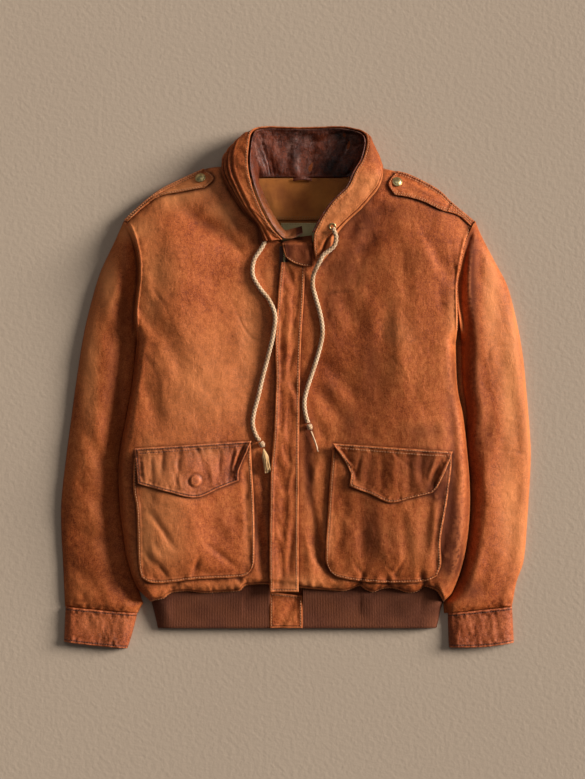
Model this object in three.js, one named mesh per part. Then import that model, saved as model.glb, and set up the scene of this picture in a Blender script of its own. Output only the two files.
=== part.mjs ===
// A worn leather flight jacket laid flat on its back, front up, with its sleeves straight down.
// Millimetres, +Z up. z = 0 is the surface it lies on, +Y points to the collar, "left" is the -X side.
import * as THREE from "three";

// Driving dimensions
const LEATHER = 1.5; // wall of every leather piece
const KNIT = 3; // wall of the waist rib
const CLOTH = 1; // wall of lining, label and zip tape
const UNDER = 2; // thickness of the layer that lies on the surface
const SEAM = 0.3; // gap between two pieces at a seam
const LAP = 0.7; // gap under a piece that lies on another
const FLOOR = UNDER + SEAM; // where the upper layer's edges come down
const BODY_RISE = 30; // height of the fronts above FLOOR
const SLEEVE_RISE = 21; // height of the sleeves above FLOOR at the cuffs
const CUFF_RISE = 10.5; // height of the cuffs above FLOOR
const RIB_RISE = 9.5; // height of the waist rib above FLOOR
const ROUND = 45; // width of the rounding along sides, sleeves and shoulders
const ARMPIT = 85; // y of the armpits
const ZIP_LIFT = LAP + CLOTH; // top of the zip above the fronts
const PLACKET_LIFT = ZIP_LIFT + LAP + LEATHER; // top of the placket above the fronts
const RIB_END = -359; // y of the rib's lower edge
const CORD = 6; // diameter of the drawstring
const SNAP_RADIUS = 7.8; // brass snap caps on the shoulder straps

// Materials, one for each mesh, by finish
const FINISHES = {
  tan: [0xa0572f, 0.62, 0],
  brown: [0x4c1f16, 0.35, 0],
  lining: [0x96602c, 0.9, 0],
  knit: [0x5c331f, 0.95, 0],
  cord: [0xd9b894, 0.85, 0],
  brass: [0xb49a68, 0.35, 1],
  label: [0xa39b76, 0.9, 0],
};

// Small maths
const mix = (a, b, t) => a + (b - a) * t;
const clamp = (t) => Math.min(Math.max(t, 0), 1);
const smooth = (from, to, t) => {
  const s = clamp((t - from) / (to - from));
  return s * s * (3 - 2 * s);
};
const rise = (t) => Math.sqrt(clamp(t) * (2 - clamp(t))); // quarter round from 0 to 1
const slowStart = (t) => 1 - Math.cos((t * Math.PI) / 2);
const slowEnd = (t) => Math.sin((t * Math.PI) / 2);
const even = (t) => t;
const steps = (count, ease = even) => Array.from({ length: count + 1 }, (_, i) => ease(i / count));

// The least of some distances, rounded where two are alike.
function nearest(...distances) {
  const least = Math.min(...distances);
  if (least < 1e-6) return 0;
  return Math.pow(distances.reduce((sum, d) => sum + Math.pow(d, -4), 0), -1 / 4);
}

// A smooth curve through [t, value] pairs, as a function of t.
function through(points) {
  const last = points.length - 1;
  const slope = (k) => {
    const [before, after] = [points[Math.max(k - 1, 0)], points[Math.min(k + 1, last)]];
    return (after[1] - before[1]) / (after[0] - before[0]);
  };
  return (t) => {
    let k = 1;
    while (k < last && t > points[k][0]) k++;
    const [[t0, a], [t1, b]] = [points[k - 1], points[k]];
    const [span, s] = [t1 - t0, clamp((t - t0) / (t1 - t0))];
    const [s2, s3] = [s * s, s * s * s];
    return (2 * s3 - 3 * s2 + 1) * a + (s3 - 2 * s2 + s) * span * slope(k - 1)
      + (3 * s2 - 2 * s3) * b + (s3 - s2) * span * slope(k);
  };
}

// Outlines of the laid-out jacket. Upright edges give x at y; hems and shoulders give y at x.
const SIDE_Y = [-320, 250]; // lower and upper end of both side edges
const sideLeft = through([
  [-320, -217], [-300, -236.7], [-261, -251.7], [-212, -260], [-171, -264.3], [-108, -265.2],
  [-39, -253.2], [1, -245.7], [76, -238.2], [117, -237.6], [159, -232.8], [187, -232.8],
  [214, -238.2], [234, -245.7], [250, -256],
]);
const sideRight = through([
  [-320, 221], [-306, 234.3], [-260, 250.8], [-207, 259.4], [-152, 261.3], [-90, 256.4],
  [-41, 250.8], [-6, 243.3], [37, 240.3], [96, 240.3], [154, 240.3], [198, 247.8],
  [222, 253.8], [250, 267],
]);
// The sleeves' inner edges follow the body, apart from a gap on the right and the fullness at the cuffs.
// At the shoulder's tip the two seams turn together, and need a little more room.
const TIP_GAP = 0.8;
const tipGap = (y) => TIP_GAP * smooth(225, 250, y);
const innerLeft = (y) => sideLeft(y) - SEAM - tipGap(y)
  - 11.5 * smooth(-300, -320, y) - 8.2 * smooth(-320, -337, y);
const innerRight = (y) => sideRight(y) + SEAM + tipGap(y) + 8 * smooth(140, 50, y) * smooth(-80, -10, y)
  + 2.5 * smooth(-306, -320, y) + 4 * smooth(-320, -338, y);
const outerLeft = through([
  [-327, -345.6], [-261, -348.5], [-206, -351.3], [-167, -350.7], [-111, -344.7], [-54, -337.2],
  [7, -329], [79, -317.7], [130, -305.7], [174, -292.2], [219, -271.2], [250, -257.5],
]);
const outerRight = through([
  [-327, 323.6], [-291, 330.3], [-260, 340.8], [-192, 346.8], [-119, 351.3], [-84, 351.3],
  [-6, 345.3], [52, 339.3], [105, 329.4], [154, 316.2], [190, 297.3], [231, 276.3], [250, 268.5],
]);
const shoulder = through([
  [-300, 180], [-271, 222], [-256, 250.5], [-227, 277], [-203, 295], [-178, 308], [-140, 327],
  [-105, 332], [0, 334], [105, 332], [140, 327], [168, 320], [198, 305], [217, 293], [231, 280],
  [267, 250.5], [285, 222], [310, 180],
]);
const hem = through([
  [-217, -320], [-197, -313.7], [-184, -306], [-142, -306.8], [-88, -303.8], [-74, -294.5],
  [-42, -292.7], [5, -297], [62, -300], [120, -303], [180, -301], [221, -320],
]);
const frontTopLeft = through([
  [-256, 250], [-227, 276.5], [-203, 294.5], [-178, 307.5], [-140, 326.5], [-105, 331], [-92, 320],
  [-80, 285], [-68, 262], [-50, 238], [-36, 224], [-14, 210],
]);
const frontTopRight = through([
  [-12, 203], [28, 206], [44, 220], [60, 242], [82, 270], [104, 300], [112, 322], [125, 330],
  [140, 326.5], [168, 319.5], [198, 304.5], [217, 292.5], [231, 279.5], [267, 250],
]);
const cuffTopLeft = through([[-345.6, -327], [-237, -337]]);
const cuffTopRight = through([[228, -337], [323.6, -327]]);

// The largest creases: from, to, half width and depth. A negative depth is a ridge.
const CREASES = [
  [[-171, 268], [-91, 214], 14, 4],
  [[-217, 117], [-168, 42], 14, 4],
  [[-60, -167], [-48, -275], 8, 3.5],
  [[140, 234], [35, 169], 13, 4],
  [[192, 222], [230, 163], 12, 4],
  [[134, 117], [128, 52], 12, 3],
  [[35, 43], [99, -18], 13, 3],
  [[20, -192], [44, -281], 8, 3.5],
  [[270, 216], [272, 165], 9, 4],
  [[285, -47], [257, -176], 13, 4],
  [[-318, -60], [-282, -120], 12, 3],
  [[-330, -210], [-262, -236], 13, 3],
];

function creased(x, y) {
  let depth = 0;
  for (const [[ax, ay], [bx, by], width, deep] of CREASES) {
    const [dx, dy] = [bx - ax, by - ay];
    const along = clamp(((x - ax) * dx + (y - ay) * dy) / (dx * dx + dy * dy));
    const away = Math.hypot(x - ax - along * dx, y - ay - along * dy) / width;
    depth += deep * Math.exp(-away * away) * (0.4 + 0.6 * Math.sin(Math.PI * along));
  }
  return depth;
}

// Height of the outer skin of fronts and sleeves, one surface with a valley beside the body.
function skin(x, y) {
  const [side, inner, outer] = x < 0
    ? [sideLeft(y), innerLeft(y), outerLeft(y)]
    : [sideRight(y), innerRight(y), outerRight(y)];
  const sleeve = Math.abs(x) > (Math.abs(side) + Math.abs(inner)) / 2;
  const fromSide = Math.abs(x - (sleeve ? inner : side)) + 90 * smooth(ARMPIT - 20, ARMPIT + 75, y);
  const edge = nearest(fromSide, Math.abs(x - outer), 0.8 * Math.max(shoulder(x) - y, 0));
  const cuffTop = x < 0 ? cuffTopLeft(x) : cuffTopRight(x);
  const gathered = mix(0.5, 1, rise((y - (sleeve ? cuffTop : hem(x))) / 30));
  const full = sleeve ? mix(SLEEVE_RISE, BODY_RISE, smooth(-330, 150, y)) : BODY_RISE;
  return FLOOR + rise(edge / ROUND) * gathered * (full - creased(x, y));
}

const group = new THREE.Group();

function add(name, finish, geometry) {
  const [color, roughness, metalness] = FINISHES[finish];
  const mesh = new THREE.Mesh(geometry, new THREE.MeshStandardMaterial({ color, roughness, metalness }));
  mesh.name = name;
  group.add(mesh);
  return mesh;
}

// A wall: a grid of points on its outer face, the same grid moved in by its thickness, and four rims.
// Where its foot would reach under the floor given, both are raised.
function wall(surface, us, vs, thickness, floor = FLOOR) {
  const [nu, nv] = [us.length, vs.length];
  const near = 1e-3;
  const point = (u, v) => new THREE.Vector3(...surface(u, v));
  const outer = [];
  const inner = [];
  for (const v of vs) {
    for (const u of us) {
      const along = point(Math.min(u + near, 1), v).sub(point(Math.max(u - near, 0), v));
      const up = point(u, Math.min(v + near, 1)).sub(point(u, Math.max(v - near, 0)));
      const normal = along.cross(up).normalize();
      const skinPoint = point(u, v);
      const innerPoint = skinPoint.clone().addScaledVector(normal, -thickness);
      const lift = new THREE.Vector3(0, 0, Math.max(floor - innerPoint.z, 0));
      outer.push(skinPoint.add(lift));
      inner.push(innerPoint.add(lift));
    }
  }
  const index = [];
  const quad = (a, b, c, d) => index.push(a, b, c, a, c, d);
  const count = nu * nv;
  for (let j = 0; j < nv - 1; j++) {
    for (let i = 0; i < nu - 1; i++) {
      const a = j * nu + i;
      quad(a, a + 1, a + nu + 1, a + nu);
      quad(count + a, count + a + nu, count + a + nu + 1, count + a + 1);
    }
  }
  const rim = (a, b) => quad(b, a, count + a, count + b);
  for (let i = 0; i < nu - 1; i++) {
    rim(i, i + 1);
    rim((nv - 1) * nu + i + 1, (nv - 1) * nu + i);
  }
  for (let j = 0; j < nv - 1; j++) {
    rim((j + 1) * nu, j * nu);
    rim(j * nu + nu - 1, (j + 1) * nu + nu - 1);
  }
  const geometry = new THREE.BufferGeometry().setFromPoints([...outer, ...inner]);
  geometry.setIndex(index);
  geometry.computeVertexNormals();
  return geometry;
}

// Plan of a four-sided piece. left and right give x at y, bottom and top give y at x, and ys are the
// heights of its corners: lower left, lower right, upper right, upper left.
function plan(left, right, bottom, top, ys) {
  const [y00, y10, y11, y01] = ys;
  const corners = [[left(y00), y00], [right(y10), y10], [right(y11), y11], [left(y01), y01]];
  const [c00, c10, c11, c01] = corners;
  const along = (edge, from, to, t) => {
    const x = mix(from[0], to[0], t);
    return [x, edge(x)];
  };
  const upright = (edge, from, to, t) => {
    const y = mix(from[1], to[1], t);
    return [edge(y), y];
  };
  return (u, v) => {
    const [b, t] = [along(bottom, c00, c10, u), along(top, c01, c11, u)];
    const [l, r] = [upright(left, c00, c01, v), upright(right, c10, c11, v)];
    return [0, 1].map((k) => mix(b[k], t[k], v) + mix(l[k], r[k], u)
      - mix(mix(c00[k], c10[k], u), mix(c01[k], c11[k], u), v));
  };
}

// A plan raised to a height given by x, y, u and v.
const raised = (piece, height) => (u, v) => {
  const [x, y] = piece(u, v);
  return [x, y, height(x, y, u, v)];
};

// A flat layer between two heights, from points round its outline.
function slab(points, from, to) {
  const shape = new THREE.Shape(points.map(([x, y]) => new THREE.Vector2(x, y)));
  const geometry = new THREE.ExtrudeGeometry(shape, { depth: to - from, bevelEnabled: false });
  return geometry.translate(0, 0, from);
}

// The plan's outline as points, for a flat layer of the same cut.
function outline(piece, us, vs) {
  return [
    ...us.slice(0, -1).map((u) => piece(u, 0)),
    ...vs.slice(0, -1).map((v) => piece(1, v)),
    ...us.slice(1).reverse().map((u) => piece(u, 1)),
    ...vs.slice(1).reverse().map((v) => piece(0, v)),
  ];
}

// Body: two fronts over a flat back. The sleeves use the same rows, so that the armhole seams match.
const ROWS = steps(18, slowEnd);
const [SIDE_LOW, SIDE_HIGH] = SIDE_Y;
const frontLeft = plan(sideLeft, () => -14, hem, frontTopLeft, [SIDE_LOW, hem(-14), 210, SIDE_HIGH]);
const frontRight = plan(() => -12, sideRight, hem, frontTopRight, [hem(-12), SIDE_LOW, SIDE_HIGH, 203]);
add("front_left", "tan", wall(raised(frontLeft, skin), steps(15, slowStart), ROWS, LEATHER));
add("front_right", "tan", wall(raised(frontRight, skin), steps(16, slowEnd), ROWS, LEATHER));

const backNeck = through([
  [-256, 250], [-227, 276], [-178, 307], [-140, 324], [-100, 318], [0, 316], [110, 318], [140, 324],
  [198, 304], [231, 279], [267, 250],
]);
const backCorners = [SIDE_LOW, SIDE_LOW, SIDE_HIGH, SIDE_HIGH];
const backPlan = plan(sideLeft, sideRight, () => SIDE_LOW, backNeck, backCorners);
add("back", "tan", slab(outline(backPlan, steps(16), ROWS), 0, UNDER));

// Sleeves: an upper half domed over a flat under half. Each starts a row below the body's side seam.
const SLEEVE_LOW = -337;
const SLEEVE_LENGTH = SIDE_HIGH - SLEEVE_LOW;
const sleeveRows = [0, ...ROWS.map((v) => (mix(SIDE_LOW, SIDE_HIGH, v) - SLEEVE_LOW) / SLEEVE_LENGTH)];
const across = (t) => (1 - Math.cos(t * Math.PI)) / 2;
const sleeves = {
  left: plan(outerLeft, innerLeft, cuffTopLeft, () => SIDE_HIGH, [-327, SLEEVE_LOW, SIDE_HIGH, SIDE_HIGH]),
  right: plan(innerRight, outerRight, cuffTopRight, () => SIDE_HIGH, [SLEEVE_LOW, -327, SIDE_HIGH, SIDE_HIGH]),
};
for (const [side, piece] of Object.entries(sleeves)) {
  add(`sleeve_upper_${side}`, "tan", wall(raised(piece, skin), steps(9, across), sleeveRows, LEATHER));
  add(`sleeve_under_${side}`, "tan", slab(outline(piece, steps(3), sleeveRows), 0, UNDER));
}

// Cuffs: a low flat tube, upper and under half, open at the hand.
const cuffs = {
  left: plan(
    through([[-380, -347], [-327, -344.7]]), through([[-390, -253], [-370, -246.5], [-337.5, -238]]),
    through([[-347, -380], [-300, -385.5], [-253, -390]]), (x) => cuffTopLeft(x) - SEAM,
    [-380, -390, -337.3, -327.3],
  ),
  right: plan(
    through([[-388.5, 230], [-338.3, 228.4]]), through([[-381.5, 326.3], [-327.3, 323.6]]),
    through([[230, -388.5], [280, -387.5], [326.3, -381.5]]), (x) => cuffTopRight(x) - SEAM,
    [-388.5, -381.5, -327.3, -338.3],
  ),
};
const cuffHeight = (x, y, u) => FLOOR + CUFF_RISE * rise(nearest(u, 1 - u) / 0.2);
for (const [side, piece] of Object.entries(cuffs)) {
  add(`cuff_upper_${side}`, "tan", wall(raised(piece, cuffHeight), steps(12, across), steps(3), LEATHER));
  add(`cuff_under_${side}`, "tan", slab(outline(piece, steps(4), steps(3)), 0, UNDER));
}

// Waist rib: a band of knit round the hem, in a back and two fronts, with a leather tab between them.
const TAB_X = [-39.5, 10];
const ribEndLeft = through([[RIB_END, -205.5], [-321, -215.5]]);
const ribEndRight = through([[RIB_END, 209.7], [-321, 219.5]]);
const underHem = (x) => hem(x) - SEAM;
const ribSides = {
  left: [ribEndLeft, () => TAB_X[0] - SEAM, [RIB_END, RIB_END, underHem(TAB_X[0]), -320.5]],
  right: [() => TAB_X[1] + SEAM, ribEndRight, [RIB_END, RIB_END, -320.5, underHem(TAB_X[1])]],
};
const ribHeight = (x, y) => {
  const end = x < 0 ? x - ribEndLeft(y) : ribEndRight(y) - x;
  return FLOOR + 1 + RIB_RISE * rise(end / 25);
};
for (const [side, [start, end, ys]] of Object.entries(ribSides)) {
  const piece = plan(start, end, () => RIB_END, underHem, ys);
  const us = steps(12, side === "left" ? slowStart : slowEnd);
  add(`rib_front_${side}`, "knit", wall(raised(piece, ribHeight), us, steps(2), KNIT, KNIT + SEAM));
}
const RIB_BACK_TOP = SIDE_LOW - SEAM;
const ribBack = plan(
  ribEndLeft, ribEndRight, () => RIB_END, () => RIB_BACK_TOP, [RIB_END, RIB_END, RIB_BACK_TOP, RIB_BACK_TOP],
);
add("rib_back", "knit", slab(outline(ribBack, steps(1), steps(3)), 0, KNIT));
const tabTop = (x) => hem(x) - 12;
const tabPiece = plan(() => TAB_X[0], () => TAB_X[1], () => RIB_END, tabTop, [RIB_END, RIB_END, -306, -309]);
add("waist_tab", "tan", wall(raised(tabPiece, () => FLOOR + 2 + RIB_RISE), steps(2), steps(2), LEATHER));

// Front closure: the zip lies over both front edges, and the placket covers it down to the tab.
const zipPiece = plan(() => -24, () => -12.5, () => -303, () => 210, [-303, -303, 210, 210]);
const overHem = (x, y) => skin(x, Math.max(y, hem(x) + 6));
const zipHeight = (x, y) => overHem(x, y) + ZIP_LIFT;
add("zip", "brown", wall(raised(zipPiece, zipHeight), steps(1), steps(24, slowStart), CLOTH));
const placketLeft = through([
  [-303, -39], [-246, -39.6], [-132, -37.7], [-74, -33.3], [12, -29.5], [58, -30.5], [145, -26.1], [186, -22.2],
]);
const placketRight = through([[-303, 4], [-192, 4], [-6, 5.6], [72, 7.8], [126, 11.3], [186, 14]]);
const placketPiece = plan(placketLeft, placketRight, () => -303, () => 186, [-303, -303, 186, 186]);
const placketHeight = (x, y) => overHem(x, y) + PLACKET_LIFT;
add("placket", "tan", wall(raised(placketPiece, placketHeight), steps(3), steps(24, slowStart), LEATHER));

// Throat flap: the top of the closure, turned back over the placket and falling into the neck.
const throatPiece = plan(
  through([[193, -15], [205, -19], [216, -21]]), () => 24,
  through([[-15, 193], [-3, 185], [12, 180], [24, 179.5]]), through([[-21, 216], [0, 224], [24, 228]]),
  [193, 179.5, 228, 216],
);
const throatHeight = (x, y) => mix(skin(0, 180) + PLACKET_LIFT + LAP + LEATHER, 15, smooth(212, 231, y));
add("throat_flap", "brown", wall(raised(throatPiece, throatHeight), steps(5), steps(6), LEATHER));

// Patch pockets and their pointed flaps.
const POCKET_LIFT = LAP + LEATHER;
const FLAP_LIFT = POCKET_LIFT + LAP + LEATHER;
const pockets = {
  left: plan(
    through([[-281, -229.5], [-262, -233.3], [-210, -235.2], [-177, -236.7], [-147, -241.2], [-94, -239.6]]),
    through([[-269, -66], [-258, -62], [-177, -62], [-103, -66], [-84, -66.5]]),
    through([[-229.5, -281], [-219, -288], [-199, -290], [-150, -284.5], [-85, -281], [-72, -277], [-66, -269]]),
    through([[-239.6, -94], [-66.5, -84]]), [-281, -269, -84, -94],
  ),
  right: plan(
    through([[-274, 52], [-262, 45.5], [-250, 43.5], [-194, 46.8], [-144, 49.8], [-88, 54.5]]),
    through([[-279, 209], [-262, 215], [-226, 214.2], [-169, 223.8], [-119, 230.6], [-99, 231.5]]),
    through([[52, -274], [62, -281], [102, -288], [167, -289.5], [196, -286], [209, -279]]),
    through([[54.5, -88], [231.5, -99]]), [-274, -279, -99, -88],
  ),
};
const flaps = {
  left: plan(
    through([[-142, -233.7], [-89.5, -239.3]]), through([[-138, -85], [-122, -84], [-78.5, -65.7]]),
    through([[-233.7, -142], [-190, -153.5], [-147, -162.2], [-115, -149.5], [-85, -138]]),
    through([[-239.3, -89.5], [-65.7, -78.5]]), [-142, -138, -78.5, -89.5],
  ),
  right: plan(
    through([[-146, 79], [-124, 80], [-82, 54]]), through([[-155, 201.3], [-147, 209], [-107, 228], [-94, 232.2]]),
    through([[79, -146], [110, -157.5], [138.6, -169.7], [170, -163], [201.3, -155]]),
    through([[54, -82], [232.2, -94]]), [-146, -155, -94, -82],
  ),
};
const POCKET_PUFF = 3; // a pocket stands this much higher in its middle
const FLAP_CLEAR = 0.6; // and its flap clears that
const puffed = (u, v) => POCKET_PUFF * rise(nearest(u, 1 - u, v) / 0.3);
for (const side of ["left", "right"]) {
  const pocketHeight = (x, y, u, v) => skin(x, y) + POCKET_LIFT + puffed(u, v);
  add(`pocket_${side}`, "tan", wall(raised(pockets[side], pocketHeight), steps(9), steps(9), LEATHER));
  const flapHeight = (x, y) => skin(x, y) + FLAP_LIFT + POCKET_PUFF + FLAP_CLEAR;
  add(`pocket_flap_${side}`, "tan", wall(raised(flaps[side], flapHeight), steps(9), steps(4), LEATHER));
}

// Shoulder straps, sewn in at the armhole and held by a brass snap near the neck.
const straps = {
  left: plan(
    through([[249, -252], [251, -256]]), through([[298, -136], [312, -122.5], [327.5, -138]]),
    through([[-252, 249], [-219, 277.8], [-203, 287], [-177, 291.2], [-136, 298]]),
    through([[-256, 251], [-227, 278], [-203, 296], [-178, 309], [-138, 327.5]]), [249, 298, 327.5, 251],
  ),
  right: plan(
    through([[287, 146], [304, 137.5], [324, 151]]), through([[241, 261], [247.5, 267]]),
    through([[146, 287], [167, 283.4], [188, 277.4], [215, 264.8], [242, 257.4], [261, 241]]),
    through([[151, 324], [168, 319.5], [198, 305], [217, 293], [231, 279], [267, 247.5]]),
    [287, 241, 247.5, 324],
  ),
};
const STRAP_LIFT = 2 * LAP + LEATHER;
const STRAP_LEAST = FLOOR + 12; // the strap is stiff, and stands out level past the shoulder's edge
const strapHeight = (x, y) => Math.max(skin(x, y), STRAP_LEAST) + STRAP_LIFT;
for (const [side, piece] of Object.entries(straps)) {
  add(`shoulder_strap_${side}`, "tan", wall(raised(piece, strapHeight), steps(10), steps(5), LEATHER));
}

// Sets a small hard piece on a sloping face, square to the normal and a gap above it.
function seat(piece, [x, y, z], normal, above) {
  const up = new THREE.Vector3(...normal).normalize();
  piece.quaternion.setFromUnitVectors(new THREE.Vector3(0, 0, 1), up);
  piece.position.set(x, y, z).addScaledVector(up, above);
}

// Brass snap caps on the straps: low domes on a short skirt.
const snapProfile = [[0, 0], [SNAP_RADIUS, 0], [SNAP_RADIUS, 1], [6.4, 2.3], [3.4, 3.2], [0, 3.5]];
const SNAP_PLACES = { left: [-142, 312], right: [150.5, 306] };
for (const [side, [x, y]] of Object.entries(SNAP_PLACES)) {
  const lathe = new THREE.LatheGeometry(snapProfile.map(([r, z]) => new THREE.Vector2(r, z)), 20);
  const cap = add(`snap_${side}`, "brass", lathe.rotateX(Math.PI / 2));
  const r = SNAP_RADIUS;
  const slopeX = (strapHeight(x + r, y) - strapHeight(x - r, y)) / (2 * r);
  const slopeY = (strapHeight(x, y + r) - strapHeight(x, y - r)) / (2 * r);
  seat(cap, [x, y, strapHeight(x, y)], [-slopeX, -slopeY, 1], LAP);
}

// Collar: a tall soft stand round the neck. Its back lies inside up on the surface, and its sides roll over.
// Each station gives the foot of the outer leather, the fullest place of its bend, and the folded edge.
const COLLAR = [
  [[-54, 215, 38], [-50, 218, 46], [-20, 220, 42]],
  [[-59, 240, 35.5], [-62, 243, 50], [-36, 237, 50]],
  [[-78, 262, 35.5], [-82, 265, 57], [-51, 264, 57]],
  [[-99, 294.5, 35.5], [-104, 297, 60], [-65, 300, 60]],
  [[-110, 318, 31], [-114, 322, 60], [-71, 330, 60]],
  [[-106, 346, 12], [-112, 350, 50], [-70, 356, 52]],
  [[-86, 347, 2], [-92, 380, 30], [-66, 379, 36]],
  [[-56, 326, 2], [-58, 391, 2], [-55, 388.5, 19]],
  [[10, 319, 2], [10, 392, 1.6], [10, 389, 14]],
  [[76, 324, 2], [78, 391, 2], [78, 389, 18]],
  [[106, 346, 2], [118, 379, 22], [104, 377, 31]],
  [[126, 340, 12], [132, 342, 44], [101, 343, 46]],
  [[129, 314, 31], [134, 314, 52], [88, 319, 52]],
  [[120, 294, 35.5], [124, 293, 52], [78, 298, 52]],
  [[99, 268, 35.5], [103, 266, 50], [55, 275, 50]],
  [[73, 243, 35.5], [77, 241, 47], [36, 247, 47]],
  [[57, 221, 36], [60, 220, 46], [27, 227, 46]],
  [[50, 201, 38], [52, 200, 45], [27, 204, 45]],
  [[37, 184, 41], [37, 183, 43.5], [31, 182, 43.5]],
];
// The inner leather from its folded edge to the neck seam, by the same stations but the last two.
const FACING = [
  [[10, 229, 41], [10, 232, 38], [9, 240, 22]],
  [[-4, 221.5, 41.5], [-4, 226, 38], [-5, 236, 22]],
  [[-18, 221.5, 41.5], [-15, 226, 38], [-16, 234, 22]],
  [[-33.5, 238, 50], [-28, 240, 46], [-22, 239, 22]],
  [[-48.5, 265, 57], [-42, 264, 54], [-36, 261, 20]],
  [[-62.5, 300.5, 60], [-55, 298, 54], [-51, 294, 15]],
  [[-68.5, 329, 60], [-58, 324, 30], [-60, 316, 9]],
  [[-67.5, 353, 52], [-58, 346, 14], [-50, 316, 7]],
  [[-63.5, 376.5, 36], [-57, 366, 6], [-38, 316, 6.5]],
  [[-54, 386, 19], [-46, 374, 5], [-24, 316, 6.5]],
  [[10, 386.5, 14], [10, 372, 4.5], [12, 316, 6.5]],
  [[76, 386.5, 18], [70, 372, 5], [54, 316, 6.5]],
  [[101.5, 374.5, 31], [96, 366, 6], [74, 316, 6.5]],
  [[98.5, 342, 46], [96, 338, 12], [86, 316, 7]],
  [[85.5, 318.5, 52], [90, 316, 30], [92, 308, 9]],
  [[75.5, 297.5, 52], [84, 294, 32], [88, 290, 13]],
  [[52.5, 274.5, 50], [60, 270, 36], [64, 268, 20]],
  [[33.5, 246.5, 47], [40, 244, 40], [44, 243, 24]],
  [[25, 230, 45.5], [30, 232, 42], [34, 232, 28]],
];
const COLLAR_FLOOR = 0.4; // the back of the collar lies on the surface beyond the back
const bend = ([a, b, c], t) => a.clone().multiplyScalar((1 - t) ** 2)
  .addScaledVector(b, 2 * t * (1 - t)).addScaledVector(c, t * t);
function loft(stations) {
  const lines = [0, 1, 2].map((k) => new THREE.CatmullRomCurve3(
    stations.map((station) => new THREE.Vector3(...station[k])), false, "centripetal",
  ));
  return (u, v) => bend(lines.map((line) => line.getPoint(u)), v).toArray();
}
const collarFace = loft([...COLLAR].reverse());
const facingFace = loft(FACING.map((station) => [...station].reverse()).reverse());
add("collar_outer", "tan", wall(collarFace, steps(38), steps(5), LEATHER, COLLAR_FLOOR));
add("collar_facing", "brown", wall(facingFace, steps(38), steps(4), LEATHER, COLLAR_FLOOR));

// Inside the neck: the back facing of cotton with its seam, the lining below it, a bare label, a loop.
const NECK_SEAM_Y = 251;
const LINING_TOP = FLOOR + CLOTH;
const neckCloth = [[-58, 314], [-64, 300], [-44, NECK_SEAM_Y], [70, NECK_SEAM_Y], [92, 300], [94, 314]];
const bodyCloth = [[-44, NECK_SEAM_Y - SEAM], [-40, 205], [60, 205], [70, NECK_SEAM_Y - SEAM]];
add("neck_lining", "lining", slab([...neckCloth].reverse(), FLOOR, LINING_TOP));
add("body_lining", "lining", slab([...bodyCloth].reverse(), FLOOR, LINING_TOP));
const label = [[-22, 218], [31, 218], [31, 247], [-22, 247]];
add("label", "label", slab(label, LINING_TOP + SEAM, LINING_TOP + SEAM + CLOTH));
const loopPath = (u, v) => {
  const bow = Math.sin(Math.PI * u);
  return [mix(-4, 24, u), 309.5 + 4 * v + 2 * bow, 9 + 4 * bow];
};
add("hanger_loop", "brown", wall(loopPath, steps(8), steps(1), LEATHER));

// Drawstring: two free ends of braided cord, each from its eyelet to a knot near the waist.
const OVER = CORD / 2 + LAP; // a cord's centre above what it lies on
const lying = (x, y, lift = 0) => [x, y, skin(x, y) + lift + OVER];
const cordLeft = [
  [-46, 223, 36.4], [-47.5, 214, 36.4], [-54, 203, 36.4], lying(-62, 190), lying(-64, 168), lying(-54, 148.5),
  lying(-40, 130.5, 1), lying(-31, 108, 3.5), lying(-33.5, 79.5, 3.5), lying(-39, 56, 1.5), lying(-45, 33),
  lying(-51, 9), lying(-56.5, -15), lying(-62, -36), lying(-64, -54), lying(-59, -71), lying(-54, -78.5),
];
const cordRight = [
  [54.5, 236.5, 51.2], [57.5, 230, 50], [59.5, 222, 48.8], [57, 211, 47.8], [49, 203, 47.3], [41, 197, 47.8],
  [36, 188, 48.2], [31, 179, 46.4], [26, 167, 40.2], lying(25, 152), lying(29, 135), lying(35, 114),
  lying(39, 93), lying(39, 76), lying(32, 46.5), lying(23.5, 20), lying(15.5, -5), lying(12.5, -22),
  lying(14.5, -40), lying(18, -52),
];
function tube(points, radius, sides, count) {
  const path = new THREE.CatmullRomCurve3(points.map((p) => new THREE.Vector3(...p)), false, "centripetal");
  const round = new THREE.Shape(steps(sides).slice(0, -1).map((t) => new THREE.Vector2(
    radius * Math.cos(2 * Math.PI * t), radius * Math.sin(2 * Math.PI * t),
  )));
  return new THREE.ExtrudeGeometry(round, { steps: count, extrudePath: path });
}
add("cord_left", "cord", tube(cordLeft, CORD / 2, 8, 40));
add("cord_right", "cord", tube(cordRight, CORD / 2, 8, 40));

// A knot is a short barrel in line with the cord; below it hang the cord's frayed or bare ends.
function barrel(radius, length, waist) {
  const half = length / 2;
  const third = half / 3;
  const profile = [[0, -half], [waist, -half], [radius, -third], [radius, third], [waist, half], [0, half]];
  return new THREE.LatheGeometry(profile.map(([r, y]) => new THREE.Vector2(r, y)), 12);
}
function ending(name, geometry, [x, y], z, angle) {
  const piece = add(name, "cord", geometry);
  piece.position.set(x, y, z);
  piece.rotation.z = angle;
}
const END_LIFT = 5.2; // the middle of a knot or tassel above the front
const endHeight = (x, y) => skin(x, y) + END_LIFT;
ending("knot_left", barrel(4.4, 10, 3), [-50.4, -83.6], endHeight(-50, -84), 0.62);
ending("knot_right", barrel(4.2, 10, 3), [20.4, -57.8], endHeight(20, -58), 0.42);
ending("tassel_left", barrel(4, 34, 2), [-44.5, -106.5], endHeight(-44, -106), 0.2);
ending("core_right", barrel(1.4, 34, 1.2), [27.8, -79.5], endHeight(28, -79), 0.32);

// Brass eyelet where the right cord comes out of the collar.
const eyelet = [[3.4, 0], [5.4, 0], [5.4, 0.9], [3.4, 0.9], [3.4, 0]];
const ringShape = new THREE.LatheGeometry(eyelet.map(([r, z]) => new THREE.Vector2(r, z)), 16);
const ring = add("eyelet_right", "brass", ringShape.rotateX(Math.PI / 2));
seat(ring, [54, 239, 45.4], [0.09, -0.23, 1], LAP);

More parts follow.
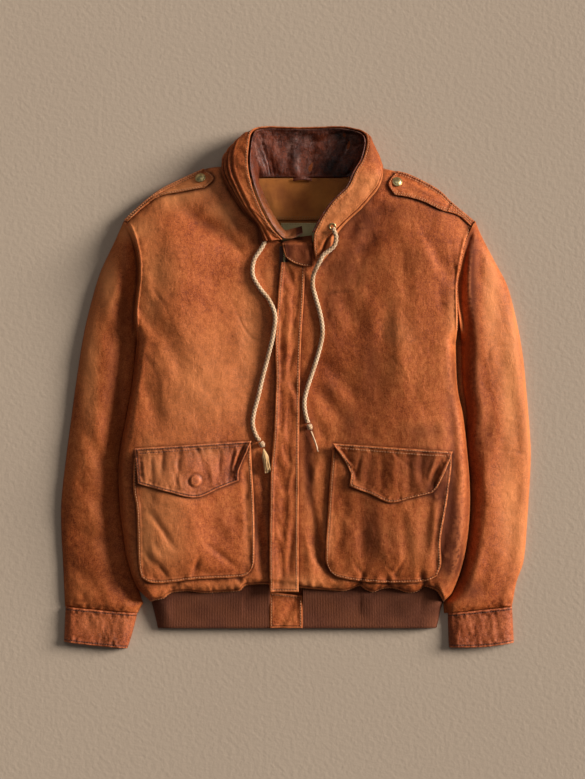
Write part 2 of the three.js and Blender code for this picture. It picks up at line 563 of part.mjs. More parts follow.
export default group;
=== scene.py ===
import math

import bpy
import numpy as np
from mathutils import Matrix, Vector


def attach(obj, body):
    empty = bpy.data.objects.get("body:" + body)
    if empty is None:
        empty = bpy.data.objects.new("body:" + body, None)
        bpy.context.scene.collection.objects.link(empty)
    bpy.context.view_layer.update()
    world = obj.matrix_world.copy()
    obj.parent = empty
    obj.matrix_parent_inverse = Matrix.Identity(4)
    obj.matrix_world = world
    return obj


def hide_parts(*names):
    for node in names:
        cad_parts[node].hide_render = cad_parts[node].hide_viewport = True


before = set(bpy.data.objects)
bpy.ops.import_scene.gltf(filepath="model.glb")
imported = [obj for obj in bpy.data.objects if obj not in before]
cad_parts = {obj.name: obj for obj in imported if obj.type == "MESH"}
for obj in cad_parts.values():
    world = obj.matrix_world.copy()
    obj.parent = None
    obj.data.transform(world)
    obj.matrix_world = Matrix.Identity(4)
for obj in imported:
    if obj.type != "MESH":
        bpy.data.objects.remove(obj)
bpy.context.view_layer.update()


# ---- The bench, the light and the camera.
# A plain pale floor, one soft lamp low on the right, a broad weak one overhead, and a camera that
# looks straight down on the middle of the jacket.
CAMERA_HEIGHT = 3.4
VIEW_CENTRE = (-0.005, -0.0024)
VIEW_HEIGHT = 1.1685  # the length of surface that is in view
SENSOR_MM = 36
camera = bpy.data.objects.new("camera", bpy.data.cameras.new("camera"))
camera.location = (*VIEW_CENTRE, CAMERA_HEIGHT)
camera.data.sensor_fit = "VERTICAL"
camera.data.sensor_height = SENSOR_MM
camera.data.lens = SENSOR_MM * CAMERA_HEIGHT / VIEW_HEIGHT
camera.data.clip_end = 50
bpy.context.scene.collection.objects.link(camera)
bpy.context.scene.camera = camera


def lamp(name, kind, place, width, power, colour):
    """A lamp that shines on the jacket from its place. width is in radians for a far one, or else metres."""
    data = bpy.data.lights.new(name, kind)
    if kind == "SUN":
        data.angle = width
    else:
        data.shape = "DISK"
        data.size = width
    data.energy = power
    data.color = colour
    light = bpy.data.objects.new(name, data)
    light.location = place
    light.rotation_euler = (-Vector(place)).to_track_quat("-Z", "Y").to_euler()
    bpy.context.scene.collection.objects.link(light)


lamp("key", "SUN", place=(4.6, 1.4, 1.85), width=0.42, power=5.2, colour=(1.0, 0.955, 0.89))
lamp("overhead", "AREA", place=(0.3, 1.7, 2.6), width=2.4, power=9, colour=(0.97, 0.955, 0.96))
world = bpy.data.worlds.new("studio")
bpy.context.scene.world = world
world.use_nodes = True
studio = world.node_tree.nodes["Background"].inputs
studio["Color"].default_value = (1.0, 0.97, 0.93, 1)
studio["Strength"].default_value = 0.09
bpy.context.scene.view_settings.view_transform = "Standard"


class Value:
    """A shader socket that sums can be written with: each operator adds its Math node."""

    def __init__(self, finish, socket):
        self.finish = finish
        self.socket = socket

    def _sum(self, operation, a, b):
        return self.finish.node("ShaderNodeMath", {"operation": operation}, {0: a, 1: b})

    def __add__(self, other):
        return self._sum("ADD", self, other)

    def __radd__(self, other):
        return self._sum("ADD", other, self)

    def __sub__(self, other):
        return self._sum("SUBTRACT", self, other)

    def __rsub__(self, other):
        return self._sum("SUBTRACT", other, self)

    def __mul__(self, other):
        return self._sum("MULTIPLY", self, other)

    def __rmul__(self, other):
        return self._sum("MULTIPLY", other, self)

    def least(self, other):
        return self._sum("MINIMUM", self, other)

    def most(self, other):
        return self._sum("MAXIMUM", self, other)

    def sine(self):
        return self.finish.node("ShaderNodeMath", {"operation": "SINE"}, {0: self})

    def between(self, low, high):
        """0 below low, 1 above high, and smooth between them."""
        inputs = {"Value": self, "From Min": low, "From Max": high}
        return self.finish.node("ShaderNodeMapRange", {"interpolation_type": "SMOOTHSTEP"}, inputs)


class Finish:
    """A material: one Principled shader, with the nodes that feed it."""

    def __init__(self, name, **constants):
        self.material = bpy.data.materials.new(name)
        self.material.use_nodes = True
        self.tree = self.material.node_tree
        self.shader = self.tree.nodes["Principled BSDF"]
        for socket, value in constants.items():
            self.shader.inputs[socket.replace("_", " ")].default_value = value
        self.place = self.node("ShaderNodeTexCoord", {}, {}, "Object")

    def node(self, kind, settings, inputs, output=0):
        made = self.tree.nodes.new(kind)
        for key, value in settings.items():
            setattr(made, key, value)
        for key, value in inputs.items():
            self.feed(made.inputs[key], value)
        return Value(self, made.outputs[output])

    def feed(self, socket, value):
        if isinstance(value, Value):
            self.tree.links.new(value.socket, socket)
        else:
            socket.default_value = value

    def measure(self, name):
        """A number that the mesh carries at each point."""
        return self.node("ShaderNodeAttribute", {"attribute_name": name}, {}, "Fac")

    def noise(self, scale, detail=2.0, stretch=None, rough=0.5):
        vector = self.place if stretch is None else self.stretched(stretch)
        inputs = {"Vector": vector, "Scale": scale, "Detail": detail, "Roughness": rough}
        return self.node("ShaderNodeTexNoise", {}, inputs)

    def stretched(self, factors):
        return self.node("ShaderNodeVectorMath", {"operation": "MULTIPLY"}, {0: self.place, 1: factors})

    def cells(self, scale):
        """The distance to the edges of small cells."""
        settings = {"feature": "DISTANCE_TO_EDGE"}
        return self.node("ShaderNodeTexVoronoi", settings, {"Vector": self.place, "Scale": scale})

    def blend(self, factor, a, b):
        settings = {"data_type": "RGBA", "clamp_factor": True}
        return self.node("ShaderNodeMix", settings, {0: factor, 6: a, 7: b}, 2)

    def bump(self, height, distance):
        """Relief on top of what is there already: height is 0 to 1, distance its real depth."""
        inputs = {"Height": height, "Distance": distance, "Strength": 1.0}
        before = self.shader.inputs["Normal"].links
        if before:
            inputs["Normal"] = Value(self, before[0].from_socket)
        self.feed(self.shader.inputs["Normal"], self.node("ShaderNodeBump", {}, inputs))

    def set(self, **links):
        for socket, value in links.items():
            self.feed(self.shader.inputs[socket.replace("_", " ")], value)
        return self.material


def paint(red, green, blue):
    """A colour from its 0 to 255 screen values."""
    def linear(c):
        c /= 255
        return c / 12.92 if c <= 0.04045 else ((c + 0.055) / 1.055) ** 2.4
    return (linear(red), linear(green), linear(blue), 1.0)


def dim(colour, share):
    """The same hue with a share of its light."""
    return (*(c * share for c in colour[:3]), 1.0)


def floor_finish():
    plaster = Finish("pale_floor", Roughness=0.9)
    colour = plaster.blend(plaster.noise(3.0, 3.0), paint(190, 169, 149), paint(196, 176, 155))
    plaster.bump(plaster.noise(150.0, 4.0), 0.0006)
    return plaster.set(Base_Color=colour)


FLOOR_HALF = 20.0
FLOOR_DROP = 0.0002  # keeps it clear of the cloth that lies on it
floor_mesh = bpy.data.meshes.new("floor")
corners = [(x * FLOOR_HALF, y * FLOOR_HALF, 0) for x, y in ((-1, -1), (1, -1), (1, 1), (-1, 1))]
floor_mesh.from_pydata(corners, [], [(0, 1, 2, 3)])
floor_mesh.materials.append(floor_finish())
floor = bpy.data.objects.new("floor", floor_mesh)
floor.location.z = -FLOOR_DROP
bpy.context.scene.collection.objects.link(floor)


# ---- Fronts.
# Two panels of soft goatskin, each cut from shoulder and neck to hem, lying domed over the back. They are
# sewn to it down the sides, to the sleeves at the armholes, and gathered on to the rib at the hem.
LEATHER = 0.0015
LAP = 0.0007  # gap under a piece that lies on another
UNDER = 0.002  # thickness of the layer that lies on the surface
SEAM = 0.0003  # gap between two pieces at their seam
FLOOR = UNDER + SEAM
BODY_RISE = 0.030  # of the fronts, over that layer
SLEEVE_RISE = 0.021
GATHERED = 0.40  # share of that height left at a gathered seam
SLEEVE_SINK = 0.80  # share of its height that a sleeve loses close beside the body
SIDE_SWELL = 0.014  # how much fuller the body is over its sides
ARMPIT = 0.085
SIDE_LOW, SIDE_HIGH = -320, 250  # ends of the side and sleeve seams
HILLS = 61  # random heights each way, before they come round again


def through(points):
    """A smooth curve through (t, value) pairs in millimetres, as a function in metres."""
    t, value = np.array(points, float).T / 1000
    after = np.minimum(np.arange(len(t)) + 1, len(t) - 1)
    before = np.maximum(np.arange(len(t)) - 1, 0)
    slope = (value[after] - value[before]) / (t[after] - t[before])

    def at(x):
        k = np.clip(np.searchsorted(t, x) - 1, 0, len(t) - 2)
        span = t[k + 1] - t[k]
        s = np.clip((x - t[k]) / span, 0, 1)
        bend = (s ** 3 - 2 * s ** 2 + s) * slope[k] + (s ** 3 - s ** 2) * slope[k + 1]
        blend = s * s * (3 - 2 * s)
        return value[k] * (1 - blend) + value[k + 1] * blend + span * bend
    return at


def mix(a, b, t):
    return a + (b - a) * t


def smooth(low, high, t):
    s = np.clip((t - low) / (high - low), 0, 1)
    return s * s * (3 - 2 * s)


def rise(t):
    """A quarter round from 0 to 1."""
    s = np.clip(t, 0, 1)
    return np.sqrt(s * (2 - s))


def nearest(*distances):
    """The least of some distances, rounded where two are alike."""
    return sum(np.maximum(d, 1e-6) ** -4.0 for d in distances) ** -0.25


def bell(t):
    return np.exp(-t * t)


def noise(x, y, cell_x, cell_y, seed):
    """Soft random hills from -1 to 1, cell_x and cell_y metres across."""
    table = np.random.RandomState(seed).uniform(-1, 1, (HILLS, HILLS))
    px, py = x / cell_x + 300.37, y / cell_y + 300.71
    ix, iy = np.floor(px).astype(int), np.floor(py).astype(int)
    fx, fy = smooth(0, 1, px - ix), smooth(0, 1, py - iy)
    ix, iy, jx, jy = ix % HILLS, iy % HILLS, (ix + 1) % HILLS, (iy + 1) % HILLS
    low = mix(table[ix, iy], table[jx, iy], fx)
    high = mix(table[ix, jy], table[jx, jy], fx)
    return mix(low, high, fy)


side_left = through([
    (-320, -217), (-300, -236.7), (-261, -251.7), (-212, -260), (-171, -264.3), (-108, -265.2),
    (-39, -253.2), (1, -245.7), (76, -238.2), (117, -237.6), (159, -232.8), (187, -232.8),
    (214, -238.2), (234, -245.7), (250, -256),
])
side_right = through([
    (-320, 221), (-306, 234.3), (-260, 250.8), (-207, 259.4), (-152, 261.3), (-90, 256.4),
    (-41, 250.8), (-6, 243.3), (37, 240.3), (96, 240.3), (154, 240.3), (198, 247.8),
    (222, 253.8), (250, 267),
])
outer_left = through([
    (-327, -345.6), (-261, -348.5), (-206, -351.3), (-167, -350.7), (-111, -344.7), (-54, -337.2),
    (7, -329), (79, -317.7), (130, -305.7), (174, -292.2), (219, -271.2), (250, -257.5),
])
outer_right = through([
    (-327, 323.6), (-291, 330.3), (-260, 340.8), (-192, 346.8), (-119, 351.3), (-84, 351.3),
    (-6, 345.3), (52, 339.3), (105, 329.4), (154, 316.2), (190, 297.3), (231, 276.3), (250, 268.5),
])
shoulder = through([
    (-300, 180), (-271, 222), (-256, 250.5), (-227, 277), (-203, 295), (-178, 308), (-140, 327),
    (-105, 332), (0, 334), (105, 332), (140, 327), (168, 320), (198, 305), (217, 293), (231, 280),
    (267, 250.5), (285, 222), (310, 180),
])
hem = through([
    (-217, -320), (-210, -316.5), (-196.5, -313.5), (-190, -308.5), (-183, -305), (-160, -303.5),
    (-137.5, -306), (-105, -304.5), (-83, -302.5), (-77.5, -296.5), (-70, -294), (-42, -293), (5, -298),
    (33, -300.5), (71, -303), (84, -299.5), (96.5, -295), (103, -300.5), (115.5, -304.5), (126, -300.5),
    (138.5, -298.5), (151, -300.5), (164, -305), (176.5, -305), (186, -300.5), (191, -296), (202, -299),
    (211, -304), (221, -320),
])
front_top_left = through([
    (-256, 250), (-227, 276.5), (-203, 294.5), (-178, 307.5), (-140, 326.5), (-105, 331), (-92, 320),
    (-80, 285), (-68, 262), (-50, 238), (-36, 224), (-14, 210),
])
front_top_right = through([
    (-12, 203), (28, 206), (44, 220), (60, 242), (82, 270), (104, 300), (112, 322), (125, 330),
    (140, 326.5), (168, 319.5), (198, 304.5), (217, 292.5), (231, 279.5), (267, 250),
])
cuff_top_left = through([(-345.6, -327), (-237, -337)])
cuff_top_right = through([(228, -337), (323.6, -327)])


def inner_left(y):
    """The left sleeve's inner edge, a seam's gap from the body, and gathered in towards the cuff."""
    fullness = 0.0115 * smooth(-0.300, -0.320, y) + 0.0082 * smooth(-0.320, -0.337, y)
    return side_left(y) - SEAM - 0.0008 * smooth(0.225, 0.250, y) - fullness


def inner_right(y):
    """The right sleeve's inner edge, which also hangs a little apart from the body below the armpit."""
    apart = 0.008 * smooth(0.140, 0.050, y) * smooth(-0.080, -0.010, y)
    fullness = 0.0025 * smooth(-0.306, -0.320, y) + 0.004 * smooth(-0.320, -0.338, y)
    return side_right(y) + SEAM + 0.0008 * smooth(0.225, 0.250, y) + apart + fullness


# Creases: from, to, half width and depth. A depth below 0 is a ridge.
CREASES = [
    # the largest, which the plain solids have too
    ((-171, 268), (-91, 214), 13, 5.5), ((-217, 117), (-168, 42), 14, 4),
    ((-60, -167), (-48, -275), 8, 3.5), ((140, 234), (35, 169), 13, 4), ((192, 222), (230, 163), 12, 4),
    ((134, 117), (128, 52), 12, 3), ((35, 43), (99, -18), 13, 3), ((20, -192), (44, -281), 8, 3.5),
    ((270, 216), (272, 165), 9, 4), ((285, -47), (257, -176), 13, 4), ((-318, -60), (-282, -120), 12, 3),
    ((-330, -210), (-262, -236), 13, 3),
    # left front
    ((-215, 228), (-205, 150), 16, 2.2), ((-232, 120), (-205, 78), 6, 1.6),
    ((-150, 178), (-110, 150), 12, 1.2), ((-200, 66), (-150, 8), 15, 2.4),
    ((-226, 30), (-205, -60), 13, 2.4), ((-108, 236), (-78, 196), 7, 1.5),
    ((-95, 262), (-84, 232), 5, 1.4), ((-150, 248), (-128, 262), 8, -1.4),
    ((-70, 120), (-58, 40), 14, 1.6), ((-130, 60), (-95, -20), 18, -1.6),
    ((-243, -60), (-250, -200), 8, 1.8), ((-222, 175), (-215, 135), 7, -1.8),
    ((-70, -10), (-60, -70), 9, 1.4), ((-52, -100), (-46, -170), 6, 1.6),
    ((-66, -210), (-58, -285), 5, -1.6), ((-180, -20), (-120, -60), 15, 1.4),
    ((-56, 180), (-44, 150), 7, 1.4),
    # right front
    ((60, 236), (42, 170), 10, 1.8), ((96, 262), (70, 205), 9, 2.2), ((112, 240), (88, 160), 12, 2.6),
    ((150, 215), (168, 130), 12, 2.0), ((176, 240), (205, 180), 8, -1.8), ((128, 50), (118, -60), 20, 3.2),
    ((150, 110), (158, 20), 10, -1.8), ((40, 100), (34, 30), 12, 1.8), ((24, 10), (70, -48), 11, 2.6),
    ((20, -30), (48, -84), 8, 2.2), ((186, 60), (180, -60), 17, 1.4), ((20, 160), (30, 110), 8, 1.6),
    ((214, 150), (218, 95), 7, 1.6), ((60, 150), (90, 90), 15, 1.5), ((232, 200), (240, 140), 4, 1.2),
    ((14, -110), (26, -150), 6, 2.4), ((36, -98), (24, -150), 6, -2.2), ((18, -150), (38, -240), 5, 2.6),
    ((30, -250), (62, -290), 5, 2.2), ((44, -200), (44, -250), 5, -1.6), ((12, -205), (26, -286), 5, -1.4),
    ((235, -20), (233, -150), 10, 4.2), ((233, -120), (222, -235), 9, 4.6),
    ((222, -215), (206, -272), 7, 3.0), ((196, -30), (212, -84), 10, 1.6),
    ((96, -292), (101, -274), 4, 3.4), ((139, -295), (134, -280), 4, 2.6),
    ((191, -292), (184, -270), 4.5, 3.4), ((-79, -292), (-88, -280), 4, 2.8),
    ((-186, -300), (-170, -288), 5, 2.4), ((118, -298), (120, -286), 5, -2.0),
    ((170, -298), (166, -286), 6, -2.0), ((62, -298), (44, -292), 4, 1.6),
    # left sleeve
    ((-262, 205), (-252, 150), 9, 2.2), ((-300, 110), (-262, 60), 14, 1.8),
    ((-312, 20), (-300, -60), 14, 1.6), ((-268, 30), (-262, -60), 9, 1.5),
    ((-340, -120), (-300, -170), 13, 1.8), ((-292, -160), (-276, -240), 12, 2.0),
    ((-336, -262), (-300, -300), 11, 2.2), ((-290, -270), (-262, -312), 10, 2.0),
    ((-318, 60), (-330, -20), 9, -1.4), ((-262, 232), (-280, 190), 7, 1.6),
    ((-322, -300), (-312, -322), 7, 1.6), ((-300, -20), (-292, -90), 12, -1.4),
    # right sleeve
    ((257, 216), (256, 120), 5, -3.0), ((283, 205), (298, 110), 16, -1.6), ((262, 110), (258, 20), 8, 1.6),
    ((300, 60), (318, -20), 14, 1.5), ((276, 40), (285, -40), 12, 2.4), ((318, -60), (300, -150), 14, 1.8),
    ((268, -170), (258, -250), 9, 2.2), ((291, -255), (272, -300), 9, 2.6),
    ((330, -200), (312, -280), 12, 1.8), ((300, -120), (292, -210), 13, -1.6),
    ((316, -290), (300, -318), 8, 1.8), ((250, -190), (246, -300), 6, 1.4),
]


def creased(x, y, creases):
    depth = np.zeros_like(x)
    for (ax, ay), (bx, by), width, deep in creases:
        ax, ay, dx, dy = ax / 1000, ay / 1000, (bx - ax) / 1000, (by - ay) / 1000
        along = np.clip(((x - ax) * dx + (y - ay) * dy) / (dx * dx + dy * dy), 0, 1)
        away = np.hypot(x - ax - along * dx, y - ay - along * dy) / (width / 1000)
        depth += deep / 1000 * bell(away) * (0.4 + 0.6 * np.sin(np.pi * along))
    return depth


def gathers(x, y, low, seed):
    """Small pleats that run up from a gathered seam."""
    wave = noise(x + 0.3 * y, y, 0.0068, 0.05, seed) + 0.5 * noise(x - 0.4 * y, y, 0.014, 0.03, seed + 2)
    strength = 0.6 + 0.4 * noise(x, y, 0.045, 0.2, seed + 1)
    return 0.0014 * wave * strength * np.exp(-np.maximum(y - low, 0) / 0.018)


def relief(x, y):
    """The softness of old leather: broad swells, and smaller ones between them."""
    broad = 0.0026 * noise(x, y, 0.075, 0.095, 11) + 0.0014 * noise(x, y, 0.034, 0.046, 12)
    small = 0.0006 * noise(x, y, 0.013, 0.017, 13) + 0.00018 * noise(x, y, 0.006, 0.007, 14)
    thin = 0.0010 * bell(noise(x + 0.4 * y, y, 0.05, 0.08, 15) / 0.07) * noise(x, y, 0.06, 0.06, 16).clip(0)
    return broad + small - thin


def skin(x, y):
    """The height of fronts and sleeves: one surface, with a valley where the sleeves lie beside the body."""
    right = x > 0
    side = np.where(right, side_right(y), side_left(y))
    inner = np.where(right, inner_right(y), inner_left(y))
    outer = np.where(right, outer_right(y), outer_left(y))
    sleeve = np.abs(x) > (np.abs(side) + np.abs(inner)) / 2
    # the distance to the nearest edge that comes down to the surface; above the armpit the sleeve and the
    # body meet higher up, at the armhole seam
    from_side = np.abs(x - np.where(sleeve, inner, side)) + 0.090 * smooth(ARMPIT - 0.020, ARMPIT + 0.075, y)
    edge = nearest(from_side, np.abs(x - outer), 0.8 * np.maximum(shoulder(x) - y, 0))
    # both keep some of their height where they are gathered on to the cuffs and the rib
    low = np.where(sleeve, np.where(right, cuff_top_right(x), cuff_top_left(x)), hem(x))
    gathered = mix(GATHERED, 1, rise((y - low) / np.where(sleeve, 0.022, 0.013)))
    full = np.where(sleeve, mix(SLEEVE_RISE, BODY_RISE, smooth(-0.330, 0.150, y)), BODY_RISE)
    # a sleeve lies low beside the body and slopes away from its ridge
    beside, width = np.abs(x - inner), np.abs(outer - inner)
    reach = mix(np.where(right, 0.024, 0.050), np.where(right, 0.016, 0.028), smooth(0.08, 0.20, y))
    sunk = (1 - smooth(-0.004, reach, beside)) * smooth(-0.345, -0.300, y) * np.where(right, 0.75, 1)
    sunk = sunk * mix(1, 0.4 + 0.6 * smooth(0, 0.006, beside), smooth(0.070, 0.105, y))
    fall = 1.09 - np.where(right, 0.72, 0.58) * smooth(-0.10, 1.15, beside / width)
    full = np.where(sleeve, full * fall * (1 - SLEEVE_SINK * sunk * smooth(0.262, 0.225, y)), full)
    # the body is fullest over its sides
    swell = bell((np.abs(x) - 0.178) / 0.080) * smooth(0.262, 0.190, y) * smooth(-0.310, -0.240, y)
    full = full + np.where(sleeve, 0, SIDE_SWELL * swell)
    turn = np.where(sleeve, np.where(right, 0.015, 0.032), mix(0.017, 0.045, smooth(0.05, 0.16, y)))
    domed = rise(edge / turn) * gathered
    soft = relief(x, y) + gathers(x, y, low, 21)
    return FLOOR + domed * (full - creased(x, y, CREASES)) + smooth(0, 0.02, edge) * soft


# Distances from a turned edge of the rows of points along it.
RIM = np.array([0, 0.35, 0.9, 1.6, 2.4, 3.2, 4.0, 5.0, 6.4, 8.2]) / 1000


def places(length, pitch, start, end):
    """Rows of points from 0 to 1 along a piece: even, and closer together at an edge that is turned."""
    first = RIM if start else RIM[:1]
    last = RIM if end else RIM[:1]
    between = np.linspace(first[-1], length - last[-1], max(int(length / pitch), 2))[1:-1]
    return np.concatenate([first, between, length - last[::-1]]) / length


def level(value):
    """A straight edge, upright or level."""
    return lambda t: value / 1000 + 0 * t


def plan(left, right, bottom, top, heights):
    """Where the points of a four-sided piece lie. left and right give x at y, bottom and top give y at x, and
    heights are those of its corners: lower left, lower right, upper right, upper left."""
    heights = [height / 1000 for height in heights]
    corners = zip((left, right, right, left), heights)
    x00, x10, x11, x01 = [float(edge(np.array(height))) for edge, height in corners]
    y00, y10, y11, y01 = heights

    def at(u, v):
        xb, xt, yl, yr = mix(x00, x10, u), mix(x01, x11, u), mix(y00, y01, v), mix(y10, y11, v)
        x = mix(xb, xt, v) + mix(left(yl), right(yr), u) - mix(mix(x00, x10, u), mix(x01, x11, u), v)
        y = mix(bottom(xb), top(xt), v) + mix(yl, yr, u) - mix(mix(y00, y10, u), mix(y01, y11, u), v)
        return x, y
    return at


def outlined(left, right, bottom, top):
    """The plan of a piece whose edges are lists of points: (y, x) up its sides, (x, y) along the others."""
    heights = [left[0][0], right[0][0], right[-1][0], left[-1][0]]
    return plan(through(left), through(right), through(bottom), through(top), heights)


def oblong(left, right, low, high):
    """The plan of a piece with four straight edges."""
    return plan(level(left), level(right), level(low), level(high), [low, low, high, high])


def run(points, axis):
    """How far each point of a grid is from its first row, or column, along the surface."""
    step = np.linalg.norm(np.diff(points, axis=axis), axis=2)
    start = np.zeros_like(step[:1] if axis == 0 else step[:, :1])
    return np.concatenate([start, np.cumsum(step, axis=axis)], axis=axis)


class Panel:
    """A piece of cloth on its plan: its points, and how far each is from the four edges."""

    def __init__(self, piece, width, length, pitch=0.0024, turned="", pitch_up=None):
        us = places(width, pitch, "l" in turned, "r" in turned)
        vs = places(length, pitch_up or pitch, "b" in turned, "t" in turned)
        self.u, self.v = np.meshgrid(us, vs)
        self.x, self.y = piece(self.u, self.v)
        flat = np.dstack([self.x, self.y])
        self.left, self.bottom = run(flat, 1), run(flat, 0)
        self.right, self.top = self.left[:, -1:] - self.left, self.bottom[-1:] - self.bottom
        self.turned = turned

    def inside(self, names=None):
        """The distance to the nearest of the edges named, or of the turned ones."""
        edges = {"l": self.left, "r": self.right, "b": self.bottom, "t": self.top}
        chosen = [edges[name] for name in (self.turned if names is None else names)]
        return np.minimum.reduce(chosen) if chosen else np.full_like(self.x, 1.0)

    def noise(self, cell_x, cell_y, seed):
        return noise(self.x, self.y, cell_x, cell_y, seed)

    def puckers(self, inside, seed, depth=0.0005):
        return puckers(self.x, self.y, inside, seed, depth)

    def points(self, z):
        return np.dstack([self.x, self.y, z])


STITCH_IN = 0.0034  # the row of stitches inside a turned edge
THREAD_SINK = 0.00055  # how deep the thread draws it down
EDGE_DROP = 0.0010  # how far the leather rounds down at the turn itself


def welt(inside, thick=0.0009, row=STITCH_IN):
    """The relief of a turned edge: a double thickness as far as the stitches, which sink into it."""
    double = thick * (1 - smooth(row + 0.0006, row + 0.0034, inside))
    return double - THREAD_SINK * bell((inside - row) / 0.0008) - EDGE_DROP * bell(inside / 0.0006)


def puckers(x, y, inside, seed, depth=0.0005):
    """Where the thread draws the leather in."""
    wave = noise(x, y, 0.0042, 0.0042, seed) + 0.6 * noise(x, y, 0.009, 0.009, seed + 1)
    return depth * wave * bell((inside - 0.006) / 0.006)


def surface_normals(points):
    normal = np.cross(np.gradient(points, axis=1), np.gradient(points, axis=0))
    return normal / np.maximum(np.linalg.norm(normal, axis=2, keepdims=True), 1e-12)


def mesh_object(name, points, faces, finish, measures=(), smooth_shaded=True):
    mesh = bpy.data.meshes.new(name)
    mesh.from_pydata(points.tolist(), [], [list(face) for face in faces])
    for key, value in dict(measures).items():
        mesh.attributes.new(key, "FLOAT", "POINT").data.foreach_set("value", np.asarray(value, np.float32))
    mesh.materials.append(finish)
    if smooth_shaded:
        mesh.shade_smooth()
    made = bpy.data.objects.new(name, mesh)
    bpy.context.scene.collection.objects.link(made)
    return made


def shell(name, points, thickness, finish, floor=FLOOR, **measures):
    """A closed sheet: a grid of points on its outer face, its underside, and a rounded rim between them."""
    points = points.copy()
    rows, columns = points.shape[:2]
    normal = surface_normals(points)
    under = points - normal * thickness
    lift = np.maximum(floor - under[..., 2], 0)
    points[..., 2] += lift
    under[..., 2] += lift
    index = np.arange(rows * columns).reshape(rows, columns)
    quads = np.stack([index[:-1, :-1], index[:-1, 1:], index[1:, 1:], index[1:, :-1]], -1).reshape(-1, 4)
    border = np.concatenate([index[0, :-1], index[:-1, -1], index[-1, :0:-1], index[:0:-1, 0]])
    outer, inner = points.reshape(-1, 3), under.reshape(-1, 3)
    ahead = outer[np.roll(border, -1)] - outer[np.roll(border, 1)]
    outward = np.cross(ahead, normal.reshape(-1, 3)[border])
    outward /= np.maximum(np.linalg.norm(outward, axis=1, keepdims=True), 1e-12)
    rim = (outer[border] + inner[border]) / 2 + outward * thickness * 0.3
    count = rows * columns
    b, r = border, 2 * count + np.arange(len(border))
    bn, rn = np.roll(b, -1), np.roll(r, -1)
    sides = [np.stack([b, r, rn, bn], -1), np.stack([r, b + count, bn + count, rn], -1)]
    faces = np.concatenate([quads, quads[:, ::-1] + count] + sides)
    carried = {}
    for key, value in measures.items():
        flat = np.asarray(value).reshape(-1)
        carried[key] = np.concatenate([flat, flat, flat[border]])
    return mesh_object(name, np.concatenate([outer, inner, rim]), faces, finish, carried), points


def stand_in(piece, node):
    """Puts a piece in its node's place."""
    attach(piece, "root")
    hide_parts(node)


def cut(points, held):
    """The size and area a sheet was cut to, from its widest row and its longest column. On a piece that is
    laid flat they are measured straight across, over the rise and fall of the cloth."""
    sizes = []
    for axis in (1, 0):
        step = np.diff(points, axis=axis)
        if held == "laid":
            straight = np.take(points, [-1], axis) - np.take(points, [0], axis)
            straight[..., 2] = 0
            straight /= np.linalg.norm(straight, axis=2, keepdims=True)
            step = np.dstack([(step * straight).sum(axis=2), step[..., 2]])
        sizes.append(float(np.linalg.norm(step, axis=2).sum(axis=axis).max()))
    across, up = np.diff(points, axis=1)[:-1], np.diff(points, axis=0)[:, :-1]
    area = float(np.linalg.norm(np.cross(across, up), axis=2).sum())
    return tuple(sizes), min(area, sizes[0] * sizes[1])


def sew(node, points, thickness, finish, slot, rests_on, floor=FLOOR, held="laid", **measures):
    """Makes a sheet of cloth of the jacket, in place of its node."""
    piece, points = shell(node + "_cloth", points, thickness, finish, floor, **measures)
    stand_in(piece, node)
    flat, area = cut(points, held)
    return points


